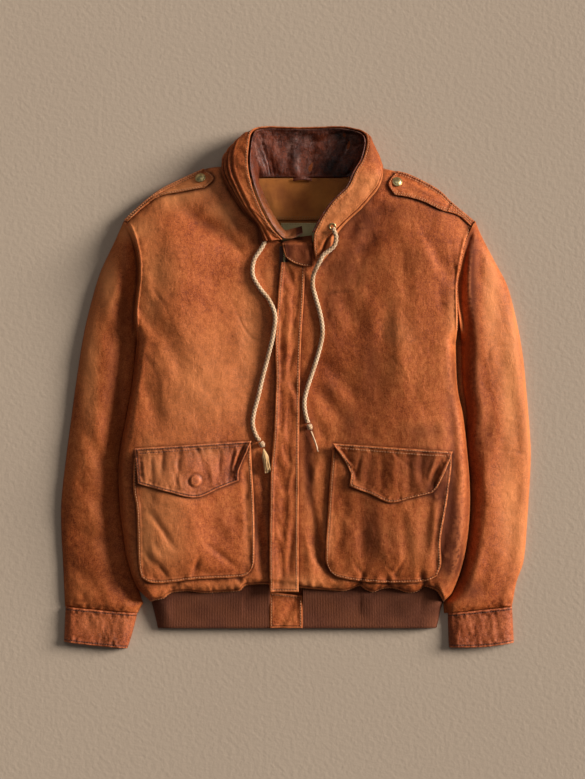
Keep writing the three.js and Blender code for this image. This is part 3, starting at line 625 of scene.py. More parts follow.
# Where years of use have bleached the leather or soaked it darker, and where painted light and painted shade
# stand in for how the light falls, as in the gaps beside the sleeves and round the flaps: centre, half
# lengths and amount, darker below 0.
TONE_AND_LIGHT_PATCHES = [
    # left front, and its pocket
    (-130, 10, 75, 85, 0.42), (-186, -175, 32, 110, 0.42), (-155, 300, 46, 20, 0.60),
    (-250, 232, 22, 14, 0.45), (-214, 195, 14, 55, 0.20), (-66, 95, 20, 75, 0.35),
    (-98, -124, 12, 16, -0.60), (-106, -190, 20, 40, -0.20), (-236, 40, 10, 60, -0.15),
    (-222, -228, 12, 34, 0.45), (-130, 232, 24, 16, -0.25), (5, -292, 28, 14, 0.60),
    (-100, -295, 60, 10, 0.25), (-22, 200, 14, 20, -0.60), (-64, 215, 9, 26, -0.50),
    (-230, 242, 26, 22, 0.40), (-116, 264, 18, 14, 0.50), (-222, -160, 9, 60, 0.35),
    (-190, 276, 30, 16, 0.40), (-190, 290, 38, 11, 0.45), (-196, 170, 24, 36, 0.34),
    (-206, -118, 16, 20, 0.25), (-212, -190, 14, 40, 0.20), (-219, -93, 14, 16, 0.35),
    (-204, -243, 30, 16, 0.35), (-129, -93, 18, 14, 0.30), (-69, -180, 10, 80, 0.25),
    (-215, 115, 14, 20, 0.30), (-39, 165, 7, 24, 0.30), (-99, 250, 12, 24, 0.45),
    # right front, and its pocket
    (95, 235, 32, 26, -0.70), (130, 265, 45, 15, -0.40), (72, 185, 42, 40, -0.58),
    (48, 118, 18, 42, -0.55), (111, 30, 16, 62, -0.55), (231, -12, 10, 55, -0.60),
    (187, -112, 36, 34, -0.75), (232, -160, 9, 80, -0.45), (95, -110, 28, 48, -0.45),
    (111, -210, 16, 50, -0.40), (192, -222, 30, 40, -0.35), (18, -105, 10, 75, -0.80),
    (150, 80, 30, 22, 0.25), (217, -150, 10, 20, -0.60), (234, -245, 14, 40, -0.70),
    (233, 105, 9, 36, 0.45), (140, 30, 20, 60, -0.15), (180, 190, 20, 26, -0.20), (51, -3, 12, 16, -0.45),
    (80, -48, 16, 24, -0.45), (190, -64, 34, 13, -0.45), (205, -153, 14, 16, -0.50),
    (111, -130, 14, 40, -0.10), (262, -303, 14, 18, -0.60), (238, -200, 9, 80, -0.35),
    (222, -262, 14, 24, -0.40), (115, -228, 42, 34, -0.28), (222, -215, 14, 55, -0.60),
    (201, -153, 14, 14, -0.50), (231, 30, 10, 24, -0.35), (51, -225, 10, 30, 0.35),
    (171, -150, 14, 12, -0.30), (21, -150, 8, 30, -0.40), (21, -63, 8, 16, -0.40),
    (78, 150, 20, 50, -0.12), (141, 85, 20, 50, 0.15), (104, 252, 20, 20, -0.30),
    # sleeves
    (-308, 35, 13, 95, 0.55), (-274, 5, 13, 75, -0.40), (-258, 120, 9, 60, -0.50),
    (-262, -120, 10, 60, -0.40), (-280, 155, 18, 42, 0.70), (292, 150, 15, 60, 0.55),
    (322, 10, 15, 110, 0.55), (296, -130, 26, 60, 0.15), (320, -190, 17, 75, 0.55),
    (288, -72, 14, 40, -0.40), (259, 40, 8, 190, -0.60), (257, -210, 9, 80, -0.30),
    (247, -268, 9, 34, -0.40), (310, 60, 18, 60, 0.20), (347, -60, 10, 130, 0.45),
    (330, 120, 10, 60, 0.35), (336, -230, 10, 60, 0.35), (261, 205, 9, 40, -0.50),
    (268, 10, 8, 110, -0.30), (291, 90, 14, 50, 0.30), (321, -25, 14, 50, 0.25), (263, 150, 9, 70, -0.45),
    (270, -120, 10, 160, -0.30), (-325, -290, 28, 30, 0.10), (-290, -352, 40, 24, 0.15),
]


# The patches summed: partly the leather's own bleaching and soaking, partly painted light and painted shade.
def dyed(x, y):
    depth = np.zeros_like(x)
    for px, py, long_x, long_y, amount in TONE_AND_LIGHT_PATCHES:
        depth += amount * bell(np.hypot((x * 1000 - px) / long_x, (y * 1000 - py) / long_y))
    return np.clip(depth + 0.05 * noise(x, y, 0.03, 0.04, 17), -0.92, 0.85)


def wear_and_shade_at(panel, points, stitched=None, row=STITCH_IN):
    """What the finish needs to know at each point: how far rubbing reaches, with painted highlights on
    ridges; how deep in a fold or by its stitches, which the finish paints as shade; how near a seam; and the
    tone and painted light of the patches.
    """
    z = points[..., 2]
    inside = panel.inside(stitched)
    curve = sum(np.gradient(np.gradient(z, axis=k), axis=k) for k in (0, 1)) / 0.0024
    # pale at the edge from rubbing, and a painted highlight on the ridges
    worn = bell((inside - 0.0012) / 0.0011) * 0.9 + np.clip(-curve * 1.5, 0, 0.5)
    # painted shade in the folds and in the groove of the stitches
    deep = np.clip(curve * 1.6, 0, 0.8) + 0.95 * bell((inside - row - 0.0002) / 0.0009)
    return {"worn": worn, "deep": deep, "seam": bell(inside / 0.012), "dye": dyed(panel.x, panel.y)}


def press_and_shade(under, over, edges, width=0.0020, amount=0.85):
    """Paints shade on the piece underneath along the edges of one that lies on it, for the shadow under that
    edge, and presses it in there.
    """
    mesh = bpy.data.objects[under + "_cloth"].data
    place = np.empty(len(mesh.vertices) * 3)
    mesh.vertices.foreach_get("co", place)
    place = place.reshape(-1, 3)
    deep = np.empty(len(place))
    mesh.attributes["deep"].data.foreach_get("value", deep)
    sides = {"l": over[:, 0], "r": over[:, -1], "b": over[0], "t": over[-1]}
    line = np.concatenate([sides[edge][:, :2] for edge in edges])
    low, high = line.min(0) - 3 * width, line.max(0) + 3 * width
    near = np.flatnonzero(((place[:, :2] > low) & (place[:, :2] < high)).all(1) & (place[:, 2] > FLOOR))
    away = np.array([np.hypot(*(line - place[i, :2]).T).min() for i in near])
    deep[near] += amount * bell(away / width)
    place[near, 2] -= 0.0004 * bell(away / width)
    mesh.attributes["deep"].data.foreach_set("value", deep)
    mesh.vertices.foreach_set("co", place.reshape(-1))


STITCHES = {}  # places of stitches, by thread
STITCH_SHARE = 0.62  # of its pitch, that a stitch is long


def travelled(line):
    """How far each point of a line is along it."""
    return np.concatenate([[0], np.cumsum(np.linalg.norm(np.diff(line, axis=0), axis=1))])


def inset_line(points, edge, inset, trim=None):
    """The line on a grid of points that runs inside one of its edges, with its normals. It stops short of the
    piece's corners by the trim."""
    grid = np.dstack([points, surface_normals(points)])
    if edge in "bt":
        grid = grid.transpose(1, 0, 2)
    if edge in "rt":
        grid = grid[:, ::-1]
    gone = run(grid[..., :3], 1)
    line = np.array([[np.interp(inset, gone[i], grid[i, :, k]) for k in range(6)] for i in range(len(grid))])
    length = travelled(line[:, :3])
    trim = inset if trim is None else trim
    return line[(length >= trim) & (length <= length[-1] - trim)]


def stitch(thread, line, pitch=0.0040):
    """A row of stitches along a line of points and normals."""
    length = travelled(line[:, :3])
    for start in np.arange(0, length[-1] - pitch, pitch):
        spots = (start, start + STITCH_SHARE * pitch)
        ends = [[np.interp(spot, length, line[:, k]) for k in range(6)] for spot in spots]
        STITCHES.setdefault(thread, []).append(ends)


def stitch_in(thread, points, edges, inset=STITCH_IN, trim=None):
    """A row of stitches inside each of the edges named."""
    for edge in edges:
        stitch(thread, inset_line(points, edge, inset, trim))


# Pale leather for the patches that lighten: bleaching, and painted light.
BLEACHED_AND_LIT = paint(246, 156, 94)


def leather(name, light, mid, dark, roughness=0.55, coat=0.0, grain=1.0, blotch=1.0, rubbed_and_highlight=None):
    """Old coloured leather: blotched, with painted shade in its folds and a darker stain by its seams, pale
    where rubbing has reached its edges, with painted highlights on its ridges and patches of painted light
    and shade, finely grained.
    """
    hide = Finish(name, Specular_IOR_Level=0.22, Coat_Roughness=0.28, Coat_IOR=1.45)
    broad = hide.noise(7.0, 4.0, (1.0, 0.7, 1.0), 0.6)
    middle = hide.noise(24.0, 4.0, (1.0, 0.8, 1.0), 0.62)
    fine = hide.noise(150.0, 5.0, None, 0.7)
    specks = hide.noise(620.0, 2.0, None, 0.6)
    tone = 0.52 + blotch * (1.1 * (broad - 0.5) + (middle - 0.5)) + 1.2 * (fine - 0.5) + 1.4 * (specks - 0.5)
    colour = hide.blend(tone.between(0.12, 0.55), dark, mid)
    colour = hide.blend(tone.between(0.50, 0.95), colour, light)
    scuffs = hide.noise(60.0, 6.0, (1.0, 0.45, 1.0), 0.75).between(0.56, 0.74)
    colour = hide.blend(0.22 * scuffs, colour, light)
    # oil and age soak it darker and light bleaches it, and the same patches paint shade and light on it
    soaked_and_shaded = (mid[0] * 0.19, mid[1] * 0.13, mid[2] * 0.08, 1.0)
    dark_dye = (0.0 - hide.measure("dye")).most(0.0)
    colour = hide.blend(dark_dye, colour, soaked_and_shaded)
    colour = hide.blend(hide.measure("dye").most(0.0), colour, BLEACHED_AND_LIT)
    # painted shade in folds, in stitch grooves and under the edges of pieces on top, and a darker stain by
    # the seams
    deep, worn, seam = hide.measure("deep"), hide.measure("worn"), hide.measure("seam")
    shade = (0.75 * deep + 0.14 * seam * hide.noise(90.0, 3.0)).least(0.85)
    colour = hide.blend(shade, colour, dim(dark, 0.22))
    # pale at the edges from rubbing, and painted highlights on the ridges
    rubbed_and_shine = (0.55 * worn * hide.noise(180.0, 4.0).between(0.36, 0.62)).least(0.6)
    pale = rubbed_and_highlight or (*(min(c * 1.45 + 0.02, 1.0) for c in light[:3]), 1.0)
    colour = hide.blend(rubbed_and_shine, colour, pale)
    # its grain: pores, then pebbles, then fine lines
    pores = hide.cells(900.0).between(0.0, 0.30)
    hide.bump(0.6 * pores + 0.4 * hide.noise(520.0, 3.0), 0.00020 * grain)
    hide.bump(hide.noise(130.0, 5.0, (1.0, 0.7, 1.0), 0.6), 0.00090 * grain)
    lines = 1.0 - (hide.noise(42.0, 4.0, (1.0, 0.55, 1.0), 0.55) - 0.5).most(-0.5).between(-0.03, 0.03)
    hide.bump(lines, 0.00022 * grain)
    rough = roughness + 0.22 * (fine - 0.5) + 0.2 * (middle - 0.5)
    rough = rough + 0.08 * deep - 0.06 * worn + 0.25 * dark_dye
    coated = coat * (hide.noise(35.0, 3.0) - 0.35).most(0.0)
    return hide.set(Base_Color=colour, Roughness=rough, Coat_Weight=coated)


TAN = leather("tan_goatskin", paint(212, 120, 63), paint(185, 93, 43), paint(140, 62, 25))
HEM_ROW = 0.0050  # the hem's stitches, from its edge


def sew_leather(node, points, rests_on, wear_and_shade, finish=TAN):
    """A piece of the jacket's own leather, with its turned edges, its marks of long use and its painted
    shade.
    """
    return sew(node, points, LEATHER, finish, "body_leather", rests_on, **wear_and_shade)


def front(side, piece, width):
    edge = side[0]
    panel = Panel(piece, width, length=0.60, pitch=0.0025, turned=edge + "b")
    z = skin(panel.x, panel.y)
    armhole = panel.left if side == "left" else panel.right
    above = smooth(0.075, 0.095, panel.y) * (1 - smooth(0.240, 0.252, panel.y))
    z += above * (welt(armhole, 0.0013) + panel.puckers(armhole, 31))
    # its armhole edge turns down to meet the sleeve
    sleeve_x = inner_left(panel.y) - LEATHER if side == "left" else inner_right(panel.y) + LEATHER
    turned_down = smooth(ARMPIT - 0.035, ARMPIT - 0.015, panel.y) * (1 - smooth(0.244, 0.252, panel.y))
    meeting = np.minimum(z, skin(sleeve_x, panel.y) - 0.0006)
    z = mix(z, mix(meeting, z, rise(armhole / 0.0034)), turned_down)
    z += welt(panel.bottom, 0.0010, HEM_ROW) + panel.puckers(panel.bottom, 33, 0.0009)
    points = panel.points(z)
    wear_and_shade = wear_and_shade_at(panel, points, "b")
    wear_and_shade["worn"] += above * bell((armhole - 0.0014) / 0.0011)
    points = sew_leather(f"front_{side}", points, ["back"], wear_and_shade)
    line = inset_line(points, edge, STITCH_IN)
    stitch("tan", line[(line[:, 1] > ARMPIT) & (line[:, 1] < 0.245)])
    stitch_in("tan", points, "b", HEM_ROW)


def hem_at(x):
    """The hem's place in millimetres."""
    return float(hem(np.array(x / 1000))) * 1000


FRONT_EDGES = {"left": -14, "right": -12}
front_left = plan(side_left, level(FRONT_EDGES["left"]), hem, front_top_left,
                  [SIDE_LOW, hem_at(FRONT_EDGES["left"]), 210, SIDE_HIGH])
front_right = plan(level(FRONT_EDGES["right"]), side_right, hem, front_top_right,
                   [hem_at(FRONT_EDGES["right"]), SIDE_LOW, SIDE_HIGH, 203])
front("left", front_left, width=0.245)
front("right", front_right, width=0.255)


# ---- Back, and the under halves of the sleeves.
# The same goatskin, lying flat on the surface: the back in one piece, and a long narrow panel for each sleeve
# that is seamed to its upper half along both edges.
back_neck = through([
    (-256, 250), (-227, 276), (-178, 307), (-140, 324), (-100, 318), (0, 316), (110, 318), (140, 324),
    (198, 304), (231, 279), (267, 250),
])
SLEEVE_INNER_LOW, SLEEVE_OUTER_LOW = -337, -327
RIGHT_SLEEVE_HEIGHTS = [SLEEVE_INNER_LOW, SLEEVE_OUTER_LOW, SIDE_HIGH, SIDE_HIGH]
back = plan(side_left, side_right, level(SIDE_LOW), back_neck, [SIDE_LOW, SIDE_LOW, SIDE_HIGH, SIDE_HIGH])
sleeve_left = plan(outer_left, inner_left, cuff_top_left, level(SIDE_HIGH),
                   [SLEEVE_OUTER_LOW, SLEEVE_INNER_LOW, SIDE_HIGH, SIDE_HIGH])
sleeve_right = plan(inner_right, outer_right, cuff_top_right, level(SIDE_HIGH), RIGHT_SLEEVE_HEIGHTS)


def under_arm(y):
    """The right sleeve's under half shows beside the body, where the arm hangs clear of it."""
    return mix(inner_right(y), side_right(y), 0.8)


def lying_flat(node, piece, width, length, finish=TAN):
    """A plain panel of the layer that lies on the surface."""
    panel = Panel(piece, width, length, pitch=0.007)
    points = panel.points(np.full_like(panel.x, UNDER))
    sew(node, points, UNDER, finish, "body_leather", (), 0.0, **wear_and_shade_at(panel, points))


lying_flat("back", back, width=0.50, length=0.60)
lying_flat("sleeve_under_left", sleeve_left, width=0.09, length=0.58)
under_right = plan(under_arm, outer_right, cuff_top_right, level(SIDE_HIGH), RIGHT_SLEEVE_HEIGHTS)
lying_flat("sleeve_under_right", under_right, width=0.09, length=0.58)


# ---- Sleeves, upper halves.
# Long tapering panels, softly domed over the under halves and set into the armholes. Their fullness is
# gathered on to the cuffs.
for side, piece in (("left", sleeve_left), ("right", sleeve_right)):
    panel = Panel(piece, width=0.092, length=0.585, turned="lrb")
    points = panel.points(skin(panel.x, panel.y) + panel.puckers(panel.bottom, 35, 0.0009))
    sew_leather(f"sleeve_upper_{side}", points, [f"sleeve_under_{side}"], wear_and_shade_at(panel, points, ""))


# ---- Cuffs.
# A flat tube of smoother leather at each wrist, with a turned and stitched edge at the hand and at its seam
# with the sleeve. They have taken a polish, and the thread has drawn them into small wrinkles.
CUFF_RISE = 0.0105
CUFF_ROW = 0.0042
CUFF_SIZE = {"width": 0.10, "length": 0.056}
CUFF_BROWN = leather("cuff_leather", paint(204, 112, 66), paint(170, 84, 44), paint(112, 50, 24),
                     roughness=0.40, coat=0.4, grain=1.2, blotch=1.2)
cuff_left = plan(
    through([(-380, -347), (-327, -344.7)]), through([(-390, -253), (-370, -246.5), (-337.5, -238)]),
    through([(-347, -380), (-300, -385.5), (-253, -390)]), lambda x: cuff_top_left(x) - SEAM,
    [-380, -390, -337.3, -327.3],
)
cuff_right = plan(
    through([(-388.5, 230), (-338.3, 228.4)]), through([(-381.5, 326.3), (-327.3, 323.6)]),
    through([(230, -388.5), (280, -387.5), (326.3, -381.5)]), lambda x: cuff_top_right(x) - SEAM,
    [-388.5, -381.5, -327.3, -338.3],
)
for side, piece in (("left", cuff_left), ("right", cuff_right)):
    panel = Panel(piece, **CUFF_SIZE, pitch=0.0018, turned="lrbt")
    across = nearest(panel.u, 1 - panel.u)
    hemmed = panel.inside("bt")
    folds = 0.0010 * panel.noise(0.009, 0.024, 41) + 0.0005 * panel.noise(0.004, 0.008, 42)
    z = FLOOR + CUFF_RISE * rise(across / 0.2) + rise(across / 0.1) * (folds + welt(hemmed, 0.0010, CUFF_ROW))
    points = panel.points(z + panel.puckers(hemmed, 43, 0.0009))
    wear_and_shade = wear_and_shade_at(panel, points, "bt")
    points = sew_leather(f"cuff_upper_{side}", points, [f"cuff_under_{side}"], wear_and_shade, CUFF_BROWN)
    stitch_in("dark", points, "bt", CUFF_ROW)
    lying_flat(f"cuff_under_{side}", piece, **CUFF_SIZE, finish=CUFF_BROWN)


# ---- Waist rib.
# A band of ribbed wool knit that draws in the hem, in a flat back and two fronts. Its wales stand up as fine
# ridges, and its lower edge turns under.
KNIT = 0.003
RIB_RISE = 0.0095
RIB_END, RIB_TOP = -359, -320.5
WALE = 0.0024
COURSE = 0.0056
TAB_X = (-39.5, 10)
TAB_GAP = 0.3


def knit_finish():
    wool = Finish("brown_rib_knit", Roughness=0.92, Sheen_Weight=0.05, Sheen_Roughness=0.5,
                  Sheen_Tint=(0.75, 0.45, 0.3, 1.0))
    tone = wool.noise(14.0, 4.0, None, 0.6)
    fuzz = wool.noise(600.0, 3.0, (1.0, 0.5, 1.0))
    colour = wool.blend(tone.between(0.3, 0.7), paint(100, 46, 20), paint(126, 66, 32))
    colour = wool.blend(0.5 * fuzz.between(0.35, 0.75), colour, paint(130, 74, 46))
    # painted shade where deep
    colour = wool.blend(0.75 * wool.measure("deep"), colour, paint(44, 20, 12))
    wool.bump(fuzz, 0.0005)
    return wool.set(Base_Color=colour)


RIB_KNIT = knit_finish()
rib_end_left = through([(RIB_END, -205.5), (-321, -215.5)])
rib_end_right = through([(RIB_END, 209.7), (-321, 219.5)])


def under_hem(x):
    return hem(x) - SEAM


def wales(x, y):
    lean = 0.0012 * noise(x, y, 0.04, 0.06, 51)
    return np.abs(np.sin(np.pi * (x + lean) / WALE)) ** 0.7


def rib_front(side, piece):
    panel = Panel(piece, width=0.20, length=0.055, pitch=WALE / 5, turned="b", pitch_up=COURSE / 2)
    end = panel.x - rib_end_left(panel.y) if side == "left" else rib_end_right(panel.y) - panel.x
    ridge = wales(panel.x, panel.y)
    # it is drawn fuller towards the hem, and its lower edge turns under
    z = FLOOR + 0.001 + RIB_RISE * rise(end / 0.025) * (1 + 0.7 * smooth(0.045, 0.0, panel.top))
    z += 0.0008 * rise(end / 0.02) * panel.noise(0.05, 0.04, 52)
    z -= 0.0012 * bell(panel.bottom / 0.0016) + 0.0016 * bell(panel.top / 0.006)
    rows = np.sin(2 * np.pi * panel.y / COURSE + np.pi * np.floor(panel.x / WALE))
    points = panel.points(z + 0.0004 * (ridge - 1) + 0.00008 * rows)
    # painted shade between the wales, and along its top under the hem
    deep = 0.7 * (1 - ridge) + 0.35 * bell(panel.top / 0.010)
    sew(f"rib_front_{side}", points, KNIT, RIB_KNIT, "knit_rib", ["rib_back"], KNIT + SEAM, deep=deep)


left_top, right_top = [hem_at(x) - SEAM * 1000 for x in TAB_X]
rib_front("left", plan(rib_end_left, level(TAB_X[0] - TAB_GAP), level(RIB_END), under_hem,
                       [RIB_END, RIB_END, left_top, RIB_TOP]))
rib_front("right", plan(level(TAB_X[1] + TAB_GAP), rib_end_right, level(RIB_END), under_hem,
                        [RIB_END, RIB_END, RIB_TOP, right_top]))
RIB_BACK_TOP = SIDE_LOW - SEAM * 1000
rib_back = Panel(plan(rib_end_left, rib_end_right, level(RIB_END), level(RIB_BACK_TOP),
                      [RIB_END, RIB_END, RIB_BACK_TOP, RIB_BACK_TOP]),
                 width=0.42, length=0.039, pitch=WALE / 4, pitch_up=0.008)
ridge = wales(rib_back.x, rib_back.y)
points = rib_back.points(KNIT - 0.0006 * (1 - ridge))
# painted shade between the wales
sew("rib_back", points, KNIT, RIB_KNIT, "knit_rib", [], 0.0, deep=1 - ridge)


# ---- Waist tab.
# A plain piece of the body's leather between the two ends of the rib, turned in all round. It is stitched
# down both sides and across its top.
def tab_top(x):
    return hem(x) - 0.012


tab = Panel(plan(level(TAB_X[0]), level(TAB_X[1]), level(RIB_END), tab_top, [RIB_END, RIB_END, -306, -309]),
            width=0.05, length=0.052, pitch=0.0018, turned="lrbt")
z = FLOOR + 0.002 + RIB_RISE + welt(tab.inside()) + tab.puckers(tab.inside(), 61, 0.0006)
z += 0.0012 * tab.noise(0.018, 0.022, 62) - 0.0014 * bell((tab.x - tab.y * 0.6 - 0.190) / 0.006)
points = tab.points(z)
points = sew_leather("waist_tab", points, ["rib_back"], wear_and_shade_at(tab, points))
stitch_in("tan", points, "lrt")


# ---- Zip.
# Cotton tape with brass teeth, sewn down the front edges from the throat to the waist. The placket hides all
# of it but the teeth at the throat.
CLOTH = 0.001
ZIP_LIFT = LAP + CLOTH
PLACKET_LIFT = ZIP_LIFT + LAP + LEATHER


def over_hem(x, y):
    """The height of the fronts, kept level from the hem down, so that what runs past it doesn't drop."""
    return skin(x, np.maximum(y, hem(x) + 0.006))


def woven(name, colour, dark, thread=0.0007):
    """Plain cotton cloth: crossed threads, and a soft unevenness."""
    cloth = Finish(name, Roughness=0.9, Sheen_Weight=0.2)
    turns = cloth.stretched((2 * math.pi / thread, 2 * math.pi / thread, 0.0))
    split = [cloth.node("ShaderNodeSeparateXYZ", {}, {0: turns}, axis) for axis in (0, 1)]
    weave = 0.5 + 0.5 * split[0].sine() * split[1].sine()
    uneven = cloth.noise(20.0, 4.0, None, 0.6)
    tint = cloth.blend(uneven.between(0.3, 0.7), dark, colour)
    tint = cloth.blend(0.22 * weave, tint, dark)
    # painted shade in folds and stitch grooves
    tint = cloth.blend(0.6 * cloth.measure("deep"), tint, dim(dark, 0.3))
    cloth.bump(weave, 0.0002)
    cloth.bump(cloth.noise(160.0, 3.0), 0.0005)
    return cloth.set(Base_Color=tint)


def brass_finish():
    metal = Finish("old_brass", Metallic=1.0)
    tarnish = metal.noise(260.0, 4.0, None, 0.65)
    colour = metal.blend(tarnish.between(0.35, 0.75), paint(222, 204, 150), paint(150, 126, 76))
    metal.bump(metal.noise(900.0, 2.0), 0.00008)
    return metal.set(Base_Color=colour, Roughness=0.26 + 0.2 * tarnish)


OLD_BRASS = brass_finish()
TAPE = woven("zip_tape_cotton", paint(86, 48, 34), paint(60, 32, 22))
CLOSURE_LOW = -303
tape = Panel(oblong(-24, -12.5, CLOSURE_LOW, 210), width=0.0115, length=0.513, pitch=0.003)
points = tape.points(over_hem(tape.x, tape.y) + ZIP_LIFT)
sew("zip", points, CLOTH, TAPE, "zip_tape", ["front_left", "front_right"], deep=np.zeros_like(tape.x))

TOOTH = np.array([0.0019, 0.0008, 0.0011]) / 2  # half sizes
TOOTH_PITCH = 0.0013
TOOTH_SHIFT = 0.0006  # the teeth of the two tapes take turns
ZIP_X = -0.0172
CUBE = np.array([(x, y, z) for x in (-1, 1) for y in (-1, 1) for z in (-1, 1)])
CUBE_FACES = np.array([(0, 1, 3, 2), (4, 6, 7, 5), (0, 4, 5, 1), (2, 3, 7, 6), (0, 2, 6, 4), (1, 5, 7, 3)])


def height_at(face, x, y):
    return float(face(np.array([[x]]), np.array([[y]]))[0, 0])


def zip_teeth():
    points, faces = [], []
    for k, y in enumerate(np.arange(0.160, 0.2085, TOOTH_PITCH)):
        x = ZIP_X + (TOOTH_SHIFT if k % 2 else -TOOTH_SHIFT)
        z = height_at(over_hem, x, y) + ZIP_LIFT + TOOTH[2]
        faces.append(CUBE_FACES + 8 * k)
        points.append(CUBE * TOOTH + (x, y, z))
    teeth = mesh_object("zip_teeth", np.concatenate(points), np.concatenate(faces), OLD_BRASS, (), False)
    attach(teeth, "root")


zip_teeth()


# ---- Storm placket.
# A long strip of leather sewn over the zip from the throat to the tab, its left edge turned, stitched and
# standing a little open.
placket = Panel(outlined(
    [(CLOSURE_LOW, -39), (-246, -39.6), (-132, -37.7), (-74, -33.3), (12, -29.5), (58, -30.5), (145, -26.1),
     (186, -22.2)],
    [(CLOSURE_LOW, 4), (-192, 4), (-6, 5.6), (72, 7.8), (126, 11.3), (186, 14)],
    [(-39, CLOSURE_LOW), (4, CLOSURE_LOW)], [(-22.2, 186), (14, 186)],
), width=0.040, length=0.495, pitch=0.0022, turned="lrb")
PLACKET_FOLDS = [
    ((-18, 150), (-24, 60), 5, 2.4), ((2, 140), (-6, 80), 4, 2.2), ((-10, 90), (-16, 10), 5, -1.8),
    ((-24, 0), (-22, -60), 4, 2.0), ((-8, -20), (-12, -90), 5, 2.4), ((-28, -110), (-18, -150), 5, 1.8),
    ((-14, -150), (-20, -215), 5, 2.6), ((-4, -200), (-10, -270), 4, 2.0),
    ((-26, -230), (-20, -280), 4, 1.8), ((6, 170), (-4, 120), 4, 2.6), ((-16, 184), (-2, 150), 4, 2.4),
    ((-2, 60), (-12, 24), 4, 2.0), ((-20, -80), (-8, -112), 4, 2.0), ((-4, -120), (-14, -160), 4, -1.6),
    ((-28, -190), (-18, -226), 4, 1.8), ((-26, 120), (-20, 100), 3, 1.6), ((-8, 10), (2, -12), 4, 1.8),
]
base = over_hem(placket.x, placket.y) + PLACKET_LIFT
z = base + 0.0006 - creased(placket.x, placket.y, PLACKET_FOLDS)
z += welt(placket.left, 0.0011) + 0.7 * welt(placket.right, 0.0006) + welt(placket.bottom, 0.0008)
z += 0.0012 * bell((placket.left - 0.002) / 0.004) + placket.puckers(placket.left, 71, 0.0006)
points = placket.points(np.maximum(z + 0.0008 * placket.noise(0.009, 0.026, 72), base - 0.0010))
wear_and_shade = wear_and_shade_at(placket, points)
points = sew_leather("placket", points, ["zip", "front_left", "front_right"], wear_and_shade)
press_and_shade("front_left", points, "l", width=0.0030)
press_and_shade("front_right", points, "r")
stitch_in("tan", points, "lrb")


# ---- Throat flap.
# The top of the closure, in the body's leather, turned back over the placket and falling into the neck. Its
# left and lower edges are turned in, and the lower one is stitched.
THROAT_ROW = 0.0028
throat = Panel(outlined(
    [(193, -15), (205, -19), (216, -21)], [(179.5, 24), (228, 24)],
    [(-15, 193), (-3, 185), (12, 180), (24, 179.5)], [(-21, 216), (0, 224), (24, 228)],
), width=0.042, length=0.040, pitch=0.0015, turned="lb")
lap_height = height_at(skin, 0.0, 0.180) + PLACKET_LIFT + LAP + LEATHER
z = mix(lap_height, 0.015, smooth(0.212, 0.231, throat.y)) + welt(throat.inside(), 0.0008, THROAT_ROW)
z += 0.0016 * throat.noise(0.010, 0.016, 73) + 0.0010 * bell(throat.bottom / 0.003)
points = throat.points(z)
wear_and_shade = wear_and_shade_at(throat, points, row=THROAT_ROW)
# painted shade: the whole flap darkened for the shadow in the throat
wear_and_shade["dye"] -= 0.65
points = sew_leather("throat_flap", points, ["placket"], wear_and_shade)
press_and_shade("placket", points, "lb")
stitch_in("tan", points, "b", THROAT_ROW)


# ---- Patch pockets.
# Two roomy patches of the body's leather with turned edges, sewn down at both sides and the bottom. Their
# top edges lie under the flaps.
POCKET_LIFT = LAP + LEATHER
POCKET_PUFF = 0.003
POCKET_ROW = 0.0042
POCKETS = {
    "left": (
        [(-281, -229.5), (-262, -233.3), (-210, -235.2), (-177, -236.7), (-147, -241.2), (-94, -239.6)],
        [(-269, -66), (-258, -62), (-177, -62), (-103, -66), (-84, -66.5)],
        [(-229.5, -281), (-219, -288), (-199, -290), (-150, -284.5), (-85, -281), (-72, -277), (-66, -269)],
        [(-239.6, -94), (-66.5, -84)],
    ),
    "right": (
        [(-274, 52), (-262, 45.5), (-250, 43.5), (-194, 46.8), (-144, 49.8), (-88, 54.5)],
        [(-279, 209), (-262, 215), (-226, 214.2), (-169, 223.8), (-119, 230.6), (-99, 231.5)],
        [(52, -274), (62, -281), (102, -288), (167, -289.5), (196, -286), (209, -279)],
        [(54.5, -88), (231.5, -99)],
    ),
}
POCKET_FOLDS = {
    "left": [
        ((-214, -185), (-180, -236), 5, 2.6), ((-152, -278), (-143, -250), 4, 2.4),
        ((-128, -196), (-112, -238), 20, 3.0), ((-130, -232), (-88, -266), 5, 2.2),
        ((-96, -168), (-84, -215), 10, 1.8), ((-226, -240), (-196, -276), 5, 1.8),
        ((-205, -258), (-190, -280), 3, 1.6), ((-160, -260), (-120, -278), 6, 1.2),
        ((-195, -165), (-150, -178), 9, -1.2), ((-218, -215), (-205, -260), 6, -1.4),
        ((-76, -130), (-70, -240), 4, 1.6),
    ],
    "right": [
        ((97, -176), (102, -262), 10, 3.2), ((158, -190), (166, -264), 9, 2.6),
        ((70, -190), (62, -255), 6, 1.4), ((122, -185), (132, -262), 9, -1.6),
        ((196, -165), (186, -262), 8, 1.8), ((208, -150), (200, -250), 5, -2.0),
        ((88, -262), (104, -282), 3, 1.6), ((132, -262), (150, -280), 4, 1.4),
        ((176, -205), (150, -150), 8, -1.2), ((60, -140), (78, -190), 7, 1.2),
        ((146, -280), (160, -256), 3, 1.4),
    ],
}


